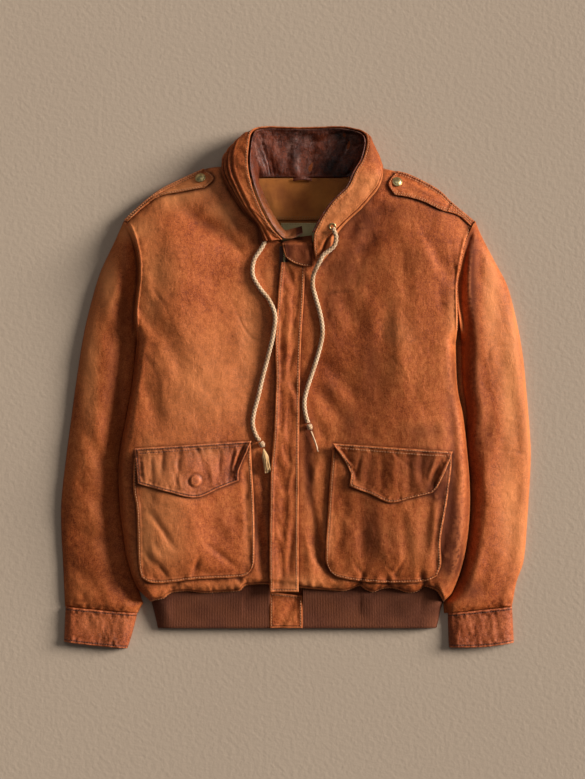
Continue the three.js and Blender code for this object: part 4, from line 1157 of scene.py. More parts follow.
def pocket(side):
    panel = Panel(outlined(*POCKETS[side]), width=0.17, length=0.19, pitch=0.0022, turned="lrb")
    x, y, inside = panel.x, panel.y, panel.inside()
    puffed = POCKET_PUFF * rise(nearest(panel.u, 1 - panel.u, panel.v) / 0.3)
    z = skin(x, y) + POCKET_LIFT + puffed + welt(inside, 0.0010, POCKET_ROW)
    z += panel.puckers(inside, 81, 0.0004) - smooth(0, 0.012, inside) * creased(x, y, POCKET_FOLDS[side])
    z += 0.0014 * bell(inside / 0.005) * (0.5 + 0.5 * panel.noise(0.05, 0.05, 82))
    z += 0.0009 * panel.noise(0.009, 0.03, 83) * bell((panel.bottom - 0.009) / 0.010)
    if side == "right":
        # its outer side stands a little open
        z += 0.0028 * bell(panel.right / 0.006) * smooth(-0.125, -0.165, y) * smooth(-0.275, -0.245, y)
    points = panel.points(z)
    wear_and_shade = wear_and_shade_at(panel, points, row=POCKET_ROW)
    points = sew_leather(f"pocket_{side}", points, [f"front_{side}"], wear_and_shade)
    press_and_shade(f"front_{side}", points, "lrb", width=0.0028, amount=1.0)
    stitch_in("tan", points, "lrb", POCKET_ROW, trim=0.006)


pocket("left")
pocket("right")


# ---- Pocket flaps.
# Pointed flaps of the same leather, sewn across their top with two rows of stitches that gather them, and
# shaped by years of folding. A hidden snap has pressed its round into the left one.
FLAP_LIFT = POCKET_LIFT + LAP + LEATHER
FLAP_CLEAR = 0.0006
FLAPS = {
    "left": (
        [(-142, -233.7), (-89.5, -239.3)], [(-138, -85), (-122, -84), (-78.5, -65.7)],
        [(-233.7, -142), (-190, -153.5), (-147, -162.2), (-115, -149.5), (-85, -138)],
        [(-239.3, -89.5), (-65.7, -78.5)],
    ),
    "right": (
        [(-146, 79), (-124, 80), (-82, 54)], [(-155, 201.3), (-147, 209), (-107, 228), (-94, 232.2)],
        [(79, -146), (110, -157.5), (138.6, -169.7), (170, -163), (201.3, -155)],
        [(54, -82), (232.2, -94)],
    ),
}
FLAP_FOLDS = {
    "left": [
        ((-66, -82), (-86, -124), 2.6, -4.0), ((-76, -84), (-90, -118), 2.2, 3.2),
        ((-84, -88), (-96, -122), 3, -2.2), ((-92, -92), (-100, -140), 3, 1.8),
        ((-112, -95), (-114, -130), 3, 1.6), ((-214, -96), (-212, -138), 4, 1.6),
        ((-226, -104), (-222, -140), 3, -1.4), ((-196, -94), (-198, -125), 3, 1.4),
        ((-172, -96), (-176, -140), 3.5, 1.8), ((-180, -110), (-168, -152), 3, -1.2),
        ((-128, -112), (-122, -142), 4, -1.4), ((-140, -92), (-138, -116), 4, 1.2),
    ],
    "right": [
        ((56, -84), (84, -118), 2.4, -3.6), ((66, -90), (92, -136), 4.5, 3.4),
        ((84, -126), (78, -140), 2.2, -2.8), ((96, -100), (88, -138), 3, 1.6),
        ((228, -102), (208, -142), 2.4, -3.6), ((218, -100), (200, -140), 3.4, 3.4),
        ((208, -98), (196, -132), 3, -1.8), ((110, -96), (104, -150), 7, 1.8),
        ((146, -98), (140, -158), 7, -1.8), ((166, -96), (168, -150), 6, 2.0),
        ((186, -98), (184, -140), 5, 1.4), ((128, -100), (126, -150), 5, 1.4),
    ],
}
FLAP_BROWN = leather("polished_flap", paint(210, 120, 70), paint(178, 90, 50), paint(126, 58, 32),
                     roughness=0.42, coat=0.4, grain=1.1, blotch=1.1)
FLAP_ROWS = (0.0028, 0.0080)  # across its top
SNAP_BUMP = (-0.1482, -0.1374)


def flap(side, finish, thread, pleat_depth):
    panel = Panel(outlined(*FLAPS[side]), width=0.17, length=0.066, pitch=0.0018, turned="lrbt")
    x, y = panel.x, panel.y
    z = skin(x, y) + FLAP_LIFT + POCKET_PUFF + FLAP_CLEAR + welt(panel.inside("lrb"), 0.0010)
    z += welt(panel.top, row=FLAP_ROWS[1]) - creased(x, y, FLAP_FOLDS[side])
    z += panel.puckers(panel.inside(), 91, 0.0007) + 0.0010 * panel.noise(0.016, 0.026, 94)
    # small pleats run down from its seam, and again from its lower edge
    pleat = noise(x + 0.25 * y, y, 0.0052, 0.05, 92)
    gathered = smooth(0.002, 0.008, panel.top) * np.exp(-panel.top / 0.016) * (1 + panel.noise(0.04, 0.2, 93))
    z += pleat * (pleat_depth * gathered + 0.0004 * bell((panel.bottom - 0.007) / 0.005))
    snap = np.hypot(x - SNAP_BUMP[0], y - SNAP_BUMP[1])
    z += 0.0020 * smooth(0.0095, 0.0060, snap) - 0.0009 * bell((snap - 0.0105) / 0.002)
    points = panel.points(z)
    wear_and_shade = wear_and_shade_at(panel, points)
    wear_and_shade["worn"] += 0.5 * bell((snap - 0.006) / 0.002)
    points = sew_leather(f"pocket_flap_{side}", points, [f"pocket_{side}"], wear_and_shade, finish)
    press_and_shade(f"pocket_{side}", points, "lrb", width=0.0028, amount=1.1)
    press_and_shade(f"front_{side}", points, "lrt")
    stitch_in(thread, points, "lrb")
    for row in FLAP_ROWS:
        stitch_in(thread, points, "t", row)


flap("left", FLAP_BROWN, "dark", pleat_depth=0.0015)
flap("right", TAN, "tan", pleat_depth=0.0008)


# ---- Shoulder straps.
# Stiff doubled straps, sewn into the armhole seam and snapped down near the collar, with two rows of stitches
# round their edge.
STRAP_LIFT = 2 * LAP + LEATHER
STRAP_LEAST = FLOOR + 0.012
STRAP_ROWS = (0.0022, 0.0062)
STRAP_PRESSED = 0.0100  # a line pressed into it, by the leather's inner edge
STRAPS = {
    "left": (
        [(249, -252), (251, -256)], [(298, -136), (312, -122.5), (327.5, -138)],
        [(-252, 249), (-219, 277.8), (-203, 287), (-177, 291.2), (-136, 298)],
        [(-256, 251), (-227, 278), (-203, 296), (-178, 309), (-138, 327.5)],
    ),
    "right": (
        [(287, 146), (304, 137.5), (324, 151)], [(241, 261), (247.5, 267)],
        [(146, 287), (167, 283.4), (188, 277.4), (215, 264.8), (242, 257.4), (261, 241)],
        [(151, 324), (168, 319.5), (198, 305), (217, 293), (231, 279), (267, 247.5)],
    ),
}
STRAP_FOLDS = {
    "left": [
        ((-196, 296), (-150, 302), 3, 1.0), ((-230, 270), (-205, 288), 3, 0.9),
        ((-128, 300), (-120, 318), 3, -1.0),
    ],
    "right": [
        ((232, 279), (222, 263), 1.6, 1.6), ((236, 277), (226, 261), 1.6, -1.2),
        ((160, 296), (205, 284), 3.5, 1.2), ((168, 306), (212, 282), 3, -0.9),
        ((140, 296), (144, 318), 3, -1.0),
    ],
}


def strap_height(x, y):
    return np.maximum(skin(x, y), STRAP_LEAST) + STRAP_LIFT


def strap(side, free):
    piece = outlined(*STRAPS[side])
    panel = Panel(piece, width=0.14, length=0.030, pitch=0.0018, turned="lrbt", pitch_up=0.0015)
    inside = panel.inside("bt" + free)
    z = strap_height(panel.x, panel.y) + welt(inside, 0.0008, STRAP_ROWS[0]) + panel.puckers(inside, 101)
    for row, width in ((STRAP_ROWS[1], 0.0008), (STRAP_PRESSED, 0.0010)):
        z -= 0.0005 * bell((inside - row) / width)
    points = panel.points(z - creased(panel.x, panel.y, STRAP_FOLDS[side]))
    wear_and_shade = wear_and_shade_at(panel, points, "bt", STRAP_ROWS[0])
    points = sew_leather(f"shoulder_strap_{side}", points, [f"front_{side}"], wear_and_shade)
    press_and_shade(f"front_{side}", points, "b" + free, width=0.0036, amount=1.5)
    stitch_in("tan", points, "bt" + free, STRAP_ROWS[0])
    stitch_in("tan", points, "bt", STRAP_ROWS[1])


strap("left", free="r")
strap("right", free="l")


# ---- Snap caps.
# Pressed brass caps with a rolled rim, one near the free end of each strap, which they hold down. Years of
# handling have dulled them.
SNAP_RADIUS = 0.0078
SNAP_PLACES = {"left": (-0.142, 0.312), "right": (0.1505, 0.306)}
SNAP_PROFILE = [
    (0, 0), (7.2, 0), (7.8, 0.5), (7.8, 1.2), (7.3, 1.75), (6.7, 1.85), (6.3, 1.7), (5.9, 1.95),
    (4.6, 2.75), (2.6, 3.3), (0, 3.5),
]


def turned_shape(name, profile, finish, segments=48):
    """A round shape from its half section, radius and height in millimetres."""
    angles = np.linspace(0, 2 * np.pi, segments, endpoint=False)
    rings = np.array([[(r * math.cos(a), r * math.sin(a), h) for a in angles] for r, h in profile]) / 1000
    index = np.arange(len(profile) * segments).reshape(len(profile), segments)
    after = np.roll(index, -1, axis=1)
    quads = np.stack([index[:-1], after[:-1], after[1:], index[1:]], -1).reshape(-1, 4)
    made = mesh_object(name, rings.reshape(-1, 3), quads, finish)
    weld = made.modifiers.new("weld", "WELD")
    weld.merge_threshold = 0.00002
    return made


def seat(piece, x, y, normal, height, above):
    """Sets a round piece on a face, square to it."""
    up = Vector(normal).normalized()
    piece.rotation_mode = "QUATERNION"
    piece.rotation_quaternion = Vector((0, 0, 1)).rotation_difference(up)
    piece.location = Vector((x, y, height)) + up * above


for side, (x, y) in SNAP_PLACES.items():
    cap = turned_shape(f"snap_cap_{side}", SNAP_PROFILE, OLD_BRASS)
    fall_x = height_at(strap_height, x - SNAP_RADIUS, y) - height_at(strap_height, x + SNAP_RADIUS, y)
    fall_y = height_at(strap_height, x, y - SNAP_RADIUS) - height_at(strap_height, x, y + SNAP_RADIUS)
    seat(cap, x, y, (fall_x, fall_y, 2 * SNAP_RADIUS), height_at(strap_height, x, y), LAP)
    stand_in(cap, f"snap_{side}")


# ---- Linings and label, seen in the neck.
# Gold cotton: a back neck facing, and the body's lining below a double seam, with a bare cloth label sewn
# on it along three sides.
LINING = woven("gold_lining_cotton", paint(206, 126, 48), paint(156, 86, 32))
LABEL = woven("pale_label_cloth", paint(218, 202, 146), paint(192, 174, 120), 0.0005)
LINING_TOP = FLOOR + CLOTH
LINING_ROWS = (0.0024, 0.0056)
LABEL_ROW = 0.0018
LINING_FOLDS = [
    ((-20, 300), (-4, 262), 9, 1.8), ((18, 304), (34, 258), 10, -1.6), ((44, 300), (52, 262), 8, 1.6),
    ((-38, 296), (-30, 258), 6, -1.4), ((4, 282), (12, 254), 6, 1.2),
]
neck = Panel(outlined(
    [(251, -44), (300, -64), (314, -58)], [(251, 70), (300, 92), (314, 94)],
    [(-44, 251), (70, 251)], [(-58, 314), (94, 314)],
), width=0.13, length=0.063, pitch=0.0025, turned="b")
z = LINING_TOP + 0.0022 - creased(neck.x, neck.y, LINING_FOLDS) + 0.0006 * neck.noise(0.02, 0.03, 111)
points = neck.points(z + welt(neck.bottom, 0.0008, LINING_ROWS[0]))
# painted shade in the groove of the stitches
deep = 0.5 * bell((neck.bottom - LINING_ROWS[0]) / 0.0012)
points = sew("neck_lining", points, CLOTH, LINING, "lining_cotton", ["back"], deep=deep)
for row in LINING_ROWS:
    stitch_in("gold", points, "b", row)
body = Panel(outlined(
    [(205, -40), (250.7, -44)], [(205, 60), (250.7, 70)], [(-40, 205), (60, 205)],
    [(-44, 250.7), (70, 250.7)],
), width=0.11, length=0.046, pitch=0.0025, turned="t")
points = body.points(LINING_TOP + 0.0008 * body.noise(0.018, 0.02, 112))
# painted shade along its top, under the neck seam
sew("body_lining", points, CLOTH, LINING, "lining_cotton", ["back"], deep=0.6 * bell(body.top / 0.003))
label = Panel(oblong(-22, 31, 218, 247), width=0.053, length=0.029, pitch=0.0016, turned="lrbt")
z = LINING_TOP + SEAM + CLOTH + 0.0014 + 0.0004 * label.noise(0.012, 0.012, 113)
points = label.points(z + welt(label.inside(), 0.0003, LABEL_ROW))
# painted shade in the groove of the stitches
deep = 0.2 * bell((label.inside() - LABEL_ROW) / 0.0006)
points = sew("label", points, CLOTH, LABEL, "label_cloth", ["body_lining"], deep=deep)
for edge in "lrt":
    stitch("gold", inset_line(points, edge, LABEL_ROW), pitch=0.0024)


# ---- Collar.
# A tall soft stand round the neck: outer leather and darker inner leather, joined in a turned, stitched edge.
# Its back lies inside up on the surface, and its sides roll over: the left in long folds, the right in one
# broad face.

# Each station round the outer leather gives its foot, the fullest place of its bend, and the folded edge.
COLLAR = [
    [(-54, 215, 38), (-50, 218, 46), (-20, 220, 42)], [(-59, 240, 35.5), (-62, 243, 50), (-36, 237, 50)],
    [(-78, 262, 35.5), (-82, 265, 51), (-51, 264, 52)],
    [(-99, 294.5, 35.5), (-104, 297, 51), (-65, 300, 53)],
    [(-110, 318, 31), (-114, 322, 50), (-71, 330, 53)], [(-106, 346, 12), (-112, 350, 43), (-70, 356, 47)],
    [(-86, 347, 2), (-92, 380, 30), (-66, 379, 36)], [(-56, 326, 2), (-58, 391, 2), (-55, 388.5, 19)],
    [(10, 319, 2), (10, 392, 1.6), (10, 389, 14)], [(76, 324, 2), (78, 391, 2), (78, 389, 18)],
    [(106, 346, 2), (118, 379, 22), (104, 377, 31)], [(126, 340, 12), (132, 342, 44), (101, 343, 46)],
    [(129, 314, 31), (134, 314, 52), (88, 319, 52)], [(120, 294, 35.5), (124, 293, 52), (78, 298, 52)],
    [(99, 268, 35.5), (103, 266, 50), (55, 275, 50)], [(73, 243, 35.5), (77, 241, 47), (36, 247, 47)],
    [(57, 221, 36), (60, 220, 46), (27, 227, 46)], [(50, 201, 38), (52, 200, 45), (27, 204, 45)],
    [(37, 184, 41), (37, 183, 43.5), (31, 182, 43.5)],
]
# Each station round the inner leather gives the folded edge, a place on its way down, and its foot.
FACING = [
    [(10, 229, 41), (10, 232, 38), (9, 240, 22)], [(-4, 221.5, 41.5), (-4, 226, 38), (-5, 236, 22)],
    [(-18, 221.5, 41.5), (-15, 226, 38), (-16, 234, 22)],
    [(-33.5, 238, 50), (-28, 240, 46), (-22, 239, 22)], [(-48.5, 265, 52), (-42, 264, 49), (-36, 261, 20)],
    [(-62.5, 300.5, 53), (-55, 298, 48), (-51, 294, 15)],
    [(-68.5, 329, 53), (-58, 324, 28), (-60, 316, 9)], [(-67.5, 353, 47), (-58, 346, 14), (-50, 316, 7)],
    [(-63.5, 376.5, 36), (-57, 366, 6), (-38, 316, 6.5)], [(-54, 386, 19), (-46, 374, 5), (-24, 316, 6.5)],
    [(10, 386.5, 14), (10, 372, 4.5), (12, 316, 6.5)], [(76, 386.5, 18), (70, 372, 5), (54, 316, 6.5)],
    [(101.5, 374.5, 31), (96, 366, 6), (74, 316, 6.5)], [(98.5, 342, 46), (96, 338, 12), (86, 316, 7)],
    [(85.5, 318.5, 52), (90, 316, 30), (92, 308, 9)], [(75.5, 297.5, 52), (84, 294, 32), (88, 290, 13)],
    [(52.5, 274.5, 50), (60, 270, 36), (64, 268, 20)], [(33.5, 246.5, 47), (40, 244, 40), (44, 243, 24)],
    [(25, 230, 45.5), (30, 232, 42), (34, 232, 28)],
]
COLLAR_FLOOR = 0.0004  # the gap between the surface and the collar's back, which lies on it
# Ridges raised in the inner leather, painted with highlights: from, to, half width and depth, below 0 for a
# ridge.
FACING_RIDGES = [
    ((-8, 378), (-13, 334), 2.2, -2.2), ((0, 376), (-9, 352), 1.8, -1.8),
    ((24, 383), (15, 362), 2.0, -1.8), ((-52, 378), (-44, 350), 2.4, -1.8),
    ((83, 376), (74, 350), 2.4, -1.8), ((-30, 372), (-24, 346), 1.8, -1.4),
    ((44, 372), (50, 344), 1.8, -1.2), ((-62, 368), (-56, 336), 2.0, -1.4),
    ((6, 350), (-2, 330), 1.6, -1.2),
]
COLLAR_LENGTH, COLLAR_HEIGHT = 0.62, 0.075
FACING_LENGTH, FACING_HEIGHT = 0.50, 0.070
COLLAR_ROW = 0.0030
FACING_ROWS = (COLLAR_ROW, 0.0110)
FACING_FOOT_ROW = 0.0024
# The folds that run along its left side: how far up it they are, their half width and their depth.
LONG_FOLDS = [(0.15, 0.0024, 0.0035), (0.31, 0.0028, 0.0042), (0.48, 0.0022, 0.0033), (0.64, 0.0018, 0.0024)]
# The inner leather: its rubbed edges and its painted highlights take a pale pinkish colour.
DARK = leather("collar_lining_leather", paint(126, 58, 32), paint(80, 34, 19), paint(38, 16, 9),
               roughness=0.30, coat=0.6, grain=1.4, blotch=1.5, rubbed_and_highlight=paint(190, 138, 122))


def passing(points, ts):
    """Points at ts, 0 to 1, on a smooth line through the given ones: a centripetal Catmull-Rom spline."""
    p = np.array(points, float) / 1000
    p = np.concatenate([[2 * p[0] - p[1]], p, [2 * p[-1] - p[-2]]])
    spot = np.asarray(ts) * (len(p) - 3)
    k = np.clip(spot.astype(int), 0, len(p) - 4)
    w = (spot - k)[:, None]
    a, b, c, d = p[k], p[k + 1], p[k + 2], p[k + 3]
    spans = [np.linalg.norm(after - before, axis=1)[:, None] for before, after in ((a, b), (b, c), (c, d))]
    ab, bc, cd = [np.maximum(span, 1e-9) ** 0.5 for span in spans]
    start = bc * ((b - a) / ab - (c - a) / (ab + bc) + (c - b) / bc)
    end = bc * ((c - b) / bc - (d - b) / (bc + cd) + (d - c) / cd)
    return b + start * w + (3 * (c - b) - 2 * start - end) * w ** 2 + (2 * (b - c) + start + end) * w ** 3


def loft(stations, us, vs):
    """The face that bends from the first line of the stations, by the second, to the third."""
    first, second, third = [passing([s[k] for s in stations], us)[None] for k in range(3)]
    v = vs[:, None, None]
    return first * (1 - v) ** 2 + second * 2 * v * (1 - v) + third * v ** 2


def collar_outer():
    us = places(COLLAR_LENGTH, pitch=0.0026, start=True, end=True)
    vs = places(COLLAR_HEIGHT, pitch=0.0016, start=True, end=True)
    points = loft(COLLAR[::-1], us, vs)
    u, v = np.meshgrid(us, vs)
    along, up = run(points, 1), run(points, 0)
    height = up[-1:]
    edge = height - up
    left = smooth(0.60, 0.70, u)
    right = 1 - smooth(0.30, 0.42, u)
    wander = 0.0022 * noise(along, up * 0, 0.045, 1, 121)
    folds = 0
    for share, width, depth in LONG_FOLDS:
        away = ((v - share) * height + wander) / width
        folds = folds + left * depth * (bell(away) - 0.35 * bell(away - 2.2))
    # two folds in its right face, that part towards the tip
    away = (v - 0.30) * height + wander - 0.010 * smooth(0.30, 0.05, u)
    low_fold = 0.0034 * bell(away / 0.0018) - 0.0014 * bell((away - 0.004) / 0.003)
    away = (v - 0.62) * height + wander + 0.014 * smooth(0.02, 0.30, u)
    high_fold = 0.0020 * bell(away / 0.0016) * smooth(0.03, 0.08, u) * smooth(0.30, 0.22, u)
    folds = folds + right * (smooth(0.02, 0.06, u) * low_fold + high_fold)
    # soft unevenness all over, and puckers across its right face where the cord has drawn it in
    soft = 0.0009 * noise(along, up, 0.03, 0.012, 122) + 0.0006 * noise(along, up, 0.008, 0.009, 123)
    drawn = noise(along - 0.6 * up, up, 0.006, 0.05, 126) * (0.5 + noise(along, up, 0.03, 0.03, 127).clip(0))
    soft = soft + right * 0.0012 * drawn * (bell((edge - 0.008) / 0.008) + 0.6 * bell((up - 0.008) / 0.008))
    ridged = (soft - folds) * smooth(0, 0.006, up) * smooth(0, 0.006, edge)
    turned = welt(edge, 0.0006, COLLAR_ROW) + puckers(along, up, edge, 124, 0.0006)
    tip_seam = 0.0009 * right * bell((along - 0.045 - 0.1 * up) / 0.0012) * smooth(0.0, 0.01, edge)
    points = points + surface_normals(points) * (ridged + turned - tip_seam)[..., None]
    # its tone: lighter over its right face and darker over its back
    dye = 0.40 * right * smooth(0.0, 0.2, u) * smooth(0.42, 0.3, u) - 0.05 * left
    dye = dye - 0.45 * (1 - left) * (1 - right) + 0.15 * noise(along, up, 0.02, 0.01, 125)
    # painted shade in its folds, at its stitches and at its foot; pale at its edge from rubbing, and painted
    # highlights on its raised parts
    wear_and_shade = {
        "worn": 0.5 * bell((edge - 0.001) / 0.0012) + 0.25 * np.clip((soft - folds) / 0.002, 0, 1),
        "deep": np.clip(folds / 0.0029, 0, 1) + 0.5 * bell((edge - 0.0032) / 0.0008) + 0.5 * bell(up / 0.004),
        "seam": bell(up / 0.01), "dye": dye,
    }
    points = sew("collar_outer", points, LEATHER, TAN, "body_leather", ["front_left", "front_right", "back"],
                 COLLAR_FLOOR, "draped", **wear_and_shade)
    press_and_shade("front_left", points, "b", width=0.0045)
    press_and_shade("front_right", points, "b", width=0.0045)
    stitch_in("tan", points, "t", COLLAR_ROW)


def collar_facing():
    us = places(FACING_LENGTH, pitch=0.0025, start=True, end=True)
    vs = places(FACING_HEIGHT, pitch=0.0018, start=True, end=True)
    points = loft([station[::-1] for station in FACING[::-1]], us, vs)
    u, v = np.meshgrid(us, vs)
    along, up = run(points, 1).max(0)[None] + 0 * u, run(points, 0)
    edge = up[-1:] - up
    # loose folds, deepest at the back of the neck, and the sharp ridges, which are painted with highlights
    back = smooth(0.22, 0.32, u) * smooth(0.80, 0.70, u)
    lean = along + 0.25 * up
    folds = 0.0042 * noise(lean, up, 0.019, 0.06, 131) + 0.0019 * noise(lean, up, 0.009, 0.035, 132)
    sharp = 0.0030 * bell(noise(lean, up, 0.030, 0.08, 133) / 0.12)
    ridges = -creased(points[..., 0], points[..., 1], FACING_RIDGES)
    lifted = back * (folds + sharp) + (1 - back) * 0.3 * folds + 0.0005 * noise(along, up, 0.005, 0.006, 134)
    lifted = lifted + ridges
    raised = lifted * smooth(0, 0.010, edge) * smooth(0, 0.008, up) + welt(edge, 0.0005, COLLAR_ROW)
    points = points + surface_normals(points) * raised[..., None]
    # painted highlights on raised folds and ridges, pale at the edge from rubbing, and painted shade in the
    # hollows
    worn = 0.30 * np.clip(lifted / 0.004, 0, 1) + 0.5 * bell((edge - 0.001) / 0.0012) + 450 * ridges.clip(0)
    # lighter over its left side, and its end in the throat darkened as painted shade
    dye = 0.16 * smooth(0.70, 0.80, u) + 0.14 * smooth(0.86, 0.93, u) - 0.9 * smooth(0.955, 0.99, u)
    wear_and_shade = {"worn": worn, "deep": 0.5 * np.clip(-lifted / 0.004, 0, 1), "seam": bell(up / 0.01), "dye": dye}
    points = sew("collar_facing", points, LEATHER, DARK, "facing_leather", ["collar_outer"], COLLAR_FLOOR,
                 "draped", **wear_and_shade)
    for row in FACING_ROWS:
        stitch_in("dark", points, "t", row)
    stitch_in("dark", points, "b", FACING_FOOT_ROW)


collar_outer()
collar_facing()


# ---- Hanger loop.
# A narrow strip of the inner leather, caught at both ends in the neck seam. It bows out, so that it goes over
# a hook.
LOOP_LENGTH, LOOP_WIDTH = 0.030, 0.004
LOOP_ENDS = (-0.004, 0.024)
NECK_SEAM, NECK_SEAM_HEIGHT = 0.3095, 0.009
BOW_OUT, BOW_UP = 0.002, 0.004
u, v = np.meshgrid(places(LOOP_LENGTH, 0.0012, True, True), places(LOOP_WIDTH, 0.0006, False, False))
bow = np.sin(np.pi * u)
loop_y = NECK_SEAM + LOOP_WIDTH * v + BOW_OUT * bow
points = np.dstack([mix(*LOOP_ENDS, u), loop_y, NECK_SEAM_HEIGHT + BOW_UP * bow])
loop = shell("hanger_loop_strip", points, LEATHER, DARK, worn=0.5 * bow, deep=0 * u, seam=0 * u)[0]
stand_in(loop, "hanger_loop")


# ---- Eyelet.
# A small brass ring, pressed through the collar's right tip and rolled down at its rim. The cord comes out
# there.
EYELET_PROFILE = [(3.2, 0), (3.0, 0.5), (3.5, 1.0), (4.6, 1.1), (5.5, 0.6), (5.5, 0), (3.2, 0)]
ring = turned_shape("eyelet_ring", EYELET_PROFILE, OLD_BRASS)
seat(ring, x=0.054, y=0.239, normal=(0.09, -0.23, 1), height=0.0454, above=LAP)
stand_in(ring, "eyelet_right")


# ---- Drawcord.
# A round braid of cream cotton round the collar: two free ends, out at the tips, each with a knot. Below its
# knot the left one is frayed into a tassel, and the right one is down to its bare core.
CORD = 0.006
OVER = CORD / 2 + LAP
CORD_RINGS = 430
PATH_STEP = 6
CORD_MIDDLE = CORD / 2 + 0.0002  # half its width, midway between the hollows and crests of its braid
BRAID = 0.00032  # height of the crests over that


def lying(x, y, lift=0):
    """A place on the cord's route where it lies on the fronts, or a little above them on the placket."""
    return (x, y, height_at(skin, x / 1000, y / 1000) * 1000 + lift + OVER * 1000)


CORD_LEFT = [
    (-46, 223, 36.4), (-47.5, 214, 36.4), (-54, 203, 36.4), lying(-62, 190), lying(-64, 168),
    lying(-54, 148.5), lying(-40, 130.5, 1), lying(-31, 108, 3.5), lying(-33.5, 79.5, 3.5),
    lying(-39, 56, 1.5), lying(-45, 33), lying(-51, 9), lying(-56.5, -15), lying(-62, -36), lying(-64, -54),
    lying(-59, -71), lying(-54, -78.5),
]
CORD_RIGHT = [
    (54.5, 236.5, 51.2), (57.5, 230, 50), (59.5, 222, 48.8), (57, 211, 47.8), (49, 203, 47.3),
    (41, 197, 47.8), (36, 188, 48.2), (31, 179, 46.4), (26, 167, 40.2), lying(25, 152), lying(29, 135),
    lying(35, 114), lying(39, 93), lying(39, 76), lying(32, 46.5), lying(23.5, 20), lying(15.5, -5),
    lying(12.5, -22), lying(14.5, -40), lying(18, -52),
]


def cotton_finish(name, clean, soiled):
    cotton = Finish(name, Roughness=0.85, Sheen_Weight=0.3)
    soil = cotton.noise(40.0, 4.0, None, 0.6)
    colour = cotton.blend(soil.between(0.35, 0.7), clean, soiled)
    # painted shade in the hollows of the braid
    colour = cotton.blend(0.75 * cotton.measure("deep"), colour, paint(128, 92, 60))
    cotton.bump(cotton.noise(1400.0, 3.0, (1.0, 0.5, 1.0)), 0.0004)
    return cotton.set(Base_Color=colour)


CREAM = cotton_finish("cream_braid_cotton", paint(246, 212, 172), paint(216, 170, 126))
FRAYED = cotton_finish("frayed_cotton", paint(236, 196, 138), paint(186, 136, 80))
STRAND_TURN = 0.0009  # how far along the cord its braid moves on by one radian


def tube(centres, radii, sides, braid):
    """A closed tube round a line of points. With a braid, its strands cross over each other in relief."""
    ahead = np.gradient(centres, axis=0)
    ahead /= np.linalg.norm(ahead, axis=1, keepdims=True)
    side = np.cross(ahead, (0, 0, 1.0))
    side /= np.maximum(np.linalg.norm(side, axis=1, keepdims=True), 1e-9)
    up = np.cross(side, ahead)
    gone = travelled(centres)[:, None]
    angle = np.linspace(0, 2 * np.pi, sides, endpoint=False)[None]
    crossing = 0.5 * np.cos(3 * angle + gone / STRAND_TURN) + 0.5 * np.cos(3 * angle - gone / STRAND_TURN)
    radius = np.broadcast_to(radii, (len(centres),))[:, None] + braid * crossing
    spokes = np.cos(angle)[..., None] * side[:, None] + np.sin(angle)[..., None] * up[:, None]
    points = centres[:, None] + radius[..., None] * spokes
    index = np.arange(len(centres) * sides).reshape(-1, sides)
    after = np.roll(index, -1, axis=1)
    faces = np.stack([index[:-1], index[1:], after[1:], after[:-1]], -1).reshape(-1, 4).tolist()
    for middle, row, turn in ((index.size, index[0], -1), (index.size + 1, index[-1], 1)):
        faces += np.stack([np.full(sides, middle), row, np.roll(row, turn)], -1).tolist()
    every = np.concatenate([points.reshape(-1, 3), centres[:1], centres[-1:]])
    # painted shade in the hollows between the strands of a braid
    deep = np.concatenate([np.clip(0.5 - crossing, 0, 1).reshape(-1) * (braid > 0), [0, 0]])
    return every, faces, deep


def tubes(name, lines, finish, node, sides=20, braid=0.0):
    """One piece from tubes round several lines of points, in place of its node."""
    points, faces, deep = [], [], []
    for centres, radii in lines:
        its_points, its_faces, its_deep = tube(centres, radii, sides, braid)
        offset = sum(map(len, points))
        faces += [[corner + offset for corner in face] for face in its_faces]
        points.append(its_points)
        deep.append(its_deep)
    carried = {"deep": np.concatenate(deep)}
    made = mesh_object(name, np.concatenate(points), faces, finish, carried)
    stand_in(made, node)
    return made


KNOT_TURNS = 2.6
KNOT_LENGTH = 0.0064
KNOT_CORD = 0.0019  # half the cord's width in the knot, where it is squeezed


def knot(side, centre, angle, radius):
    """The cord's last turns, drawn tight round itself, with their two ends tucked in."""
    turn = np.linspace(0, 1, 90)
    swing = 2 * np.pi * KNOT_TURNS * turn
    tucked = np.minimum(0.2 + 10.17 * np.minimum(turn, 1 - turn), 1)
    reach = (radius - KNOT_CORD) * tucked
    x, y = reach * np.cos(swing), (turn - 0.5) * KNOT_LENGTH
    c, s = math.cos(angle), math.sin(angle)
    turned = np.stack([c * x - s * y, s * x + c * y, reach * np.sin(swing)], -1)
    lines = [(turned + centre, KNOT_CORD)]
    return tubes(f"cord_knot_{side}", lines, CREAM, f"knot_{side}", sides=14, braid=0.00014)


def hanging(start, end, count, spread, radius, seed):
    """Loose strands from a knot to their own ends."""
    random = np.random.RandomState(seed)
    start, end, up = np.array(start), np.array(end), np.array([0, 0, 1.0])
    across = np.cross((end - start) / np.linalg.norm(end - start), up)
    lines = []
    for _ in range(count):
        t = np.linspace(0, random.uniform(0.82, 1.0), 14)[:, None]
        a, r = random.uniform(0, 2 * np.pi), spread * random.uniform(0.2, 1.0) ** 0.5
        offset = (across * math.cos(a) + up * math.sin(a)) * r
        wave = across * 0.0005 * np.sin(2 * np.pi * t * random.uniform(0.8, 2.0) + a)
        spread_out = offset * np.minimum(t * 3, 1) * (0.75 + 0.25 * t)
        lines.append((start + (end - start) * t + spread_out + wave, radius))
    return lines


END_LIFT = 0.0052


def cord_end(x, y):
    return height_at(skin, x, y) + END_LIFT


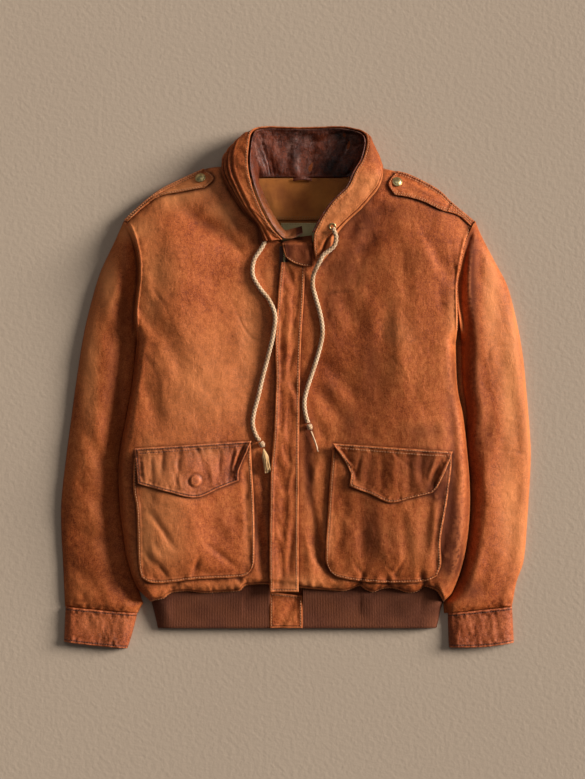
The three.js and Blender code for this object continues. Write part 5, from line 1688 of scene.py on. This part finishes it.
knot_left = knot("left", np.array([-0.0504, -0.0836, cord_end(-0.050, -0.084)]), angle=0.62, radius=0.0046)
knot_right = knot("right", np.array([0.0204, -0.0578, cord_end(0.020, -0.058)]), angle=0.42, radius=0.0044)
z = cord_end(-0.044, -0.106)
strands = hanging((-0.0478, -0.0905, z), (-0.0410, -0.1262, z - 0.0006),
                  count=46, spread=0.0052, radius=0.00056, seed=5)
tassel = tubes("frayed_tassel", strands, FRAYED, "tassel_left", sides=6)
z = cord_end(0.028, -0.079)
strands = hanging((0.0226, -0.0640, z), (0.0332, -0.0952, z - 0.0012),
                  count=3, spread=0.0006, radius=0.00085, seed=6)
core = tubes("bare_core", strands, CREAM, "core_right", sides=8)
ENDINGS = {"left": (CORD_LEFT, [knot_left, tassel]), "right": (CORD_RIGHT, [knot_right, core])}
for side, (route, ending) in ENDINGS.items():
    centres = passing(route, np.linspace(0, 1, CORD_RINGS))
    braided = tubes(f"drawcord_{side}", [(centres, CORD_MIDDLE)], CREAM, f"cord_{side}", braid=BRAID)
    centres[::PATH_STEP].tolist() + [centres[-1].tolist()]


# ---- Stitching.
# Every row of thread, as short raised stitches with gaps between them: tan on the body, dark on the polished
# leather, gold on the lining.
THREADS = {
    "tan": (paint(236, 164, 108), "body_leather"), "dark": (paint(96, 46, 30), "facing_leather"),
    "gold": (paint(176, 126, 66), "lining_cotton"),
}
STITCH_SIDES = 5
STITCH_RADIUS = 0.00060
STITCH_SUNK = 0.0001  # its ends, into the leather
STITCH_PROUD = 0.00022  # its middle, out of it


def thread_finish(name, colour):
    thread = Finish(name, Roughness=0.7, Sheen_Weight=0.2)
    shade = thread.noise(300.0, 3.0)
    thread.bump(thread.noise(2500.0, 2.0), 0.0001)
    return thread.set(Base_Color=thread.blend(shade, dim(colour, 0.55), colour))


for thread, (colour, slot) in THREADS.items():
    ends = np.array(STITCHES[thread])
    start, end, up = ends[:, 0, :3], ends[:, 1, :3], ends[:, 0, 3:]
    ahead = end - start
    side = np.cross(ahead / np.linalg.norm(ahead, axis=1, keepdims=True), up)
    angle = np.linspace(0, 2 * np.pi, STITCH_SIDES, endpoint=False)
    spokes = np.cos(angle)[None, :, None] * side[:, None] + np.sin(angle)[None, :, None] * up[:, None]
    rings = [(start - up * STITCH_SUNK)[:, None]]
    for t, size in ((0.12, 0.85), (0.5, 1.1), (0.88, 0.85)):
        rings.append((start + ahead * t + up * STITCH_PROUD)[:, None] + STITCH_RADIUS * size * spokes)
    rings.append((end - up * STITCH_SUNK)[:, None])
    points = np.concatenate(rings, axis=1)
    faces, n = [], STITCH_SIDES
    for k in range(n):
        m = (k + 1) % n
        faces.append((0, 1 + k, 1 + m, 1 + m))
        for row in (1, 1 + n):
            faces.append((row + k, row + n + k, row + n + m, row + m))
        faces.append((1 + 2 * n + k, 1 + 3 * n, 1 + 3 * n, 1 + 2 * n + m))
    every = (np.array(faces)[None] + points.shape[1] * np.arange(len(points))[:, None, None]).reshape(-1, 4)
    # a corner given twice makes a triangle
    faces = [list(dict.fromkeys(face)) for face in every.tolist()]
    finish = thread_finish(f"{thread}_thread", colour)
    sewn = mesh_object(f"stitches_{thread}", points.reshape(-1, 3), faces, finish)
    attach(sewn, "root")


# ---- The end.
bpy.context.view_layer.update()
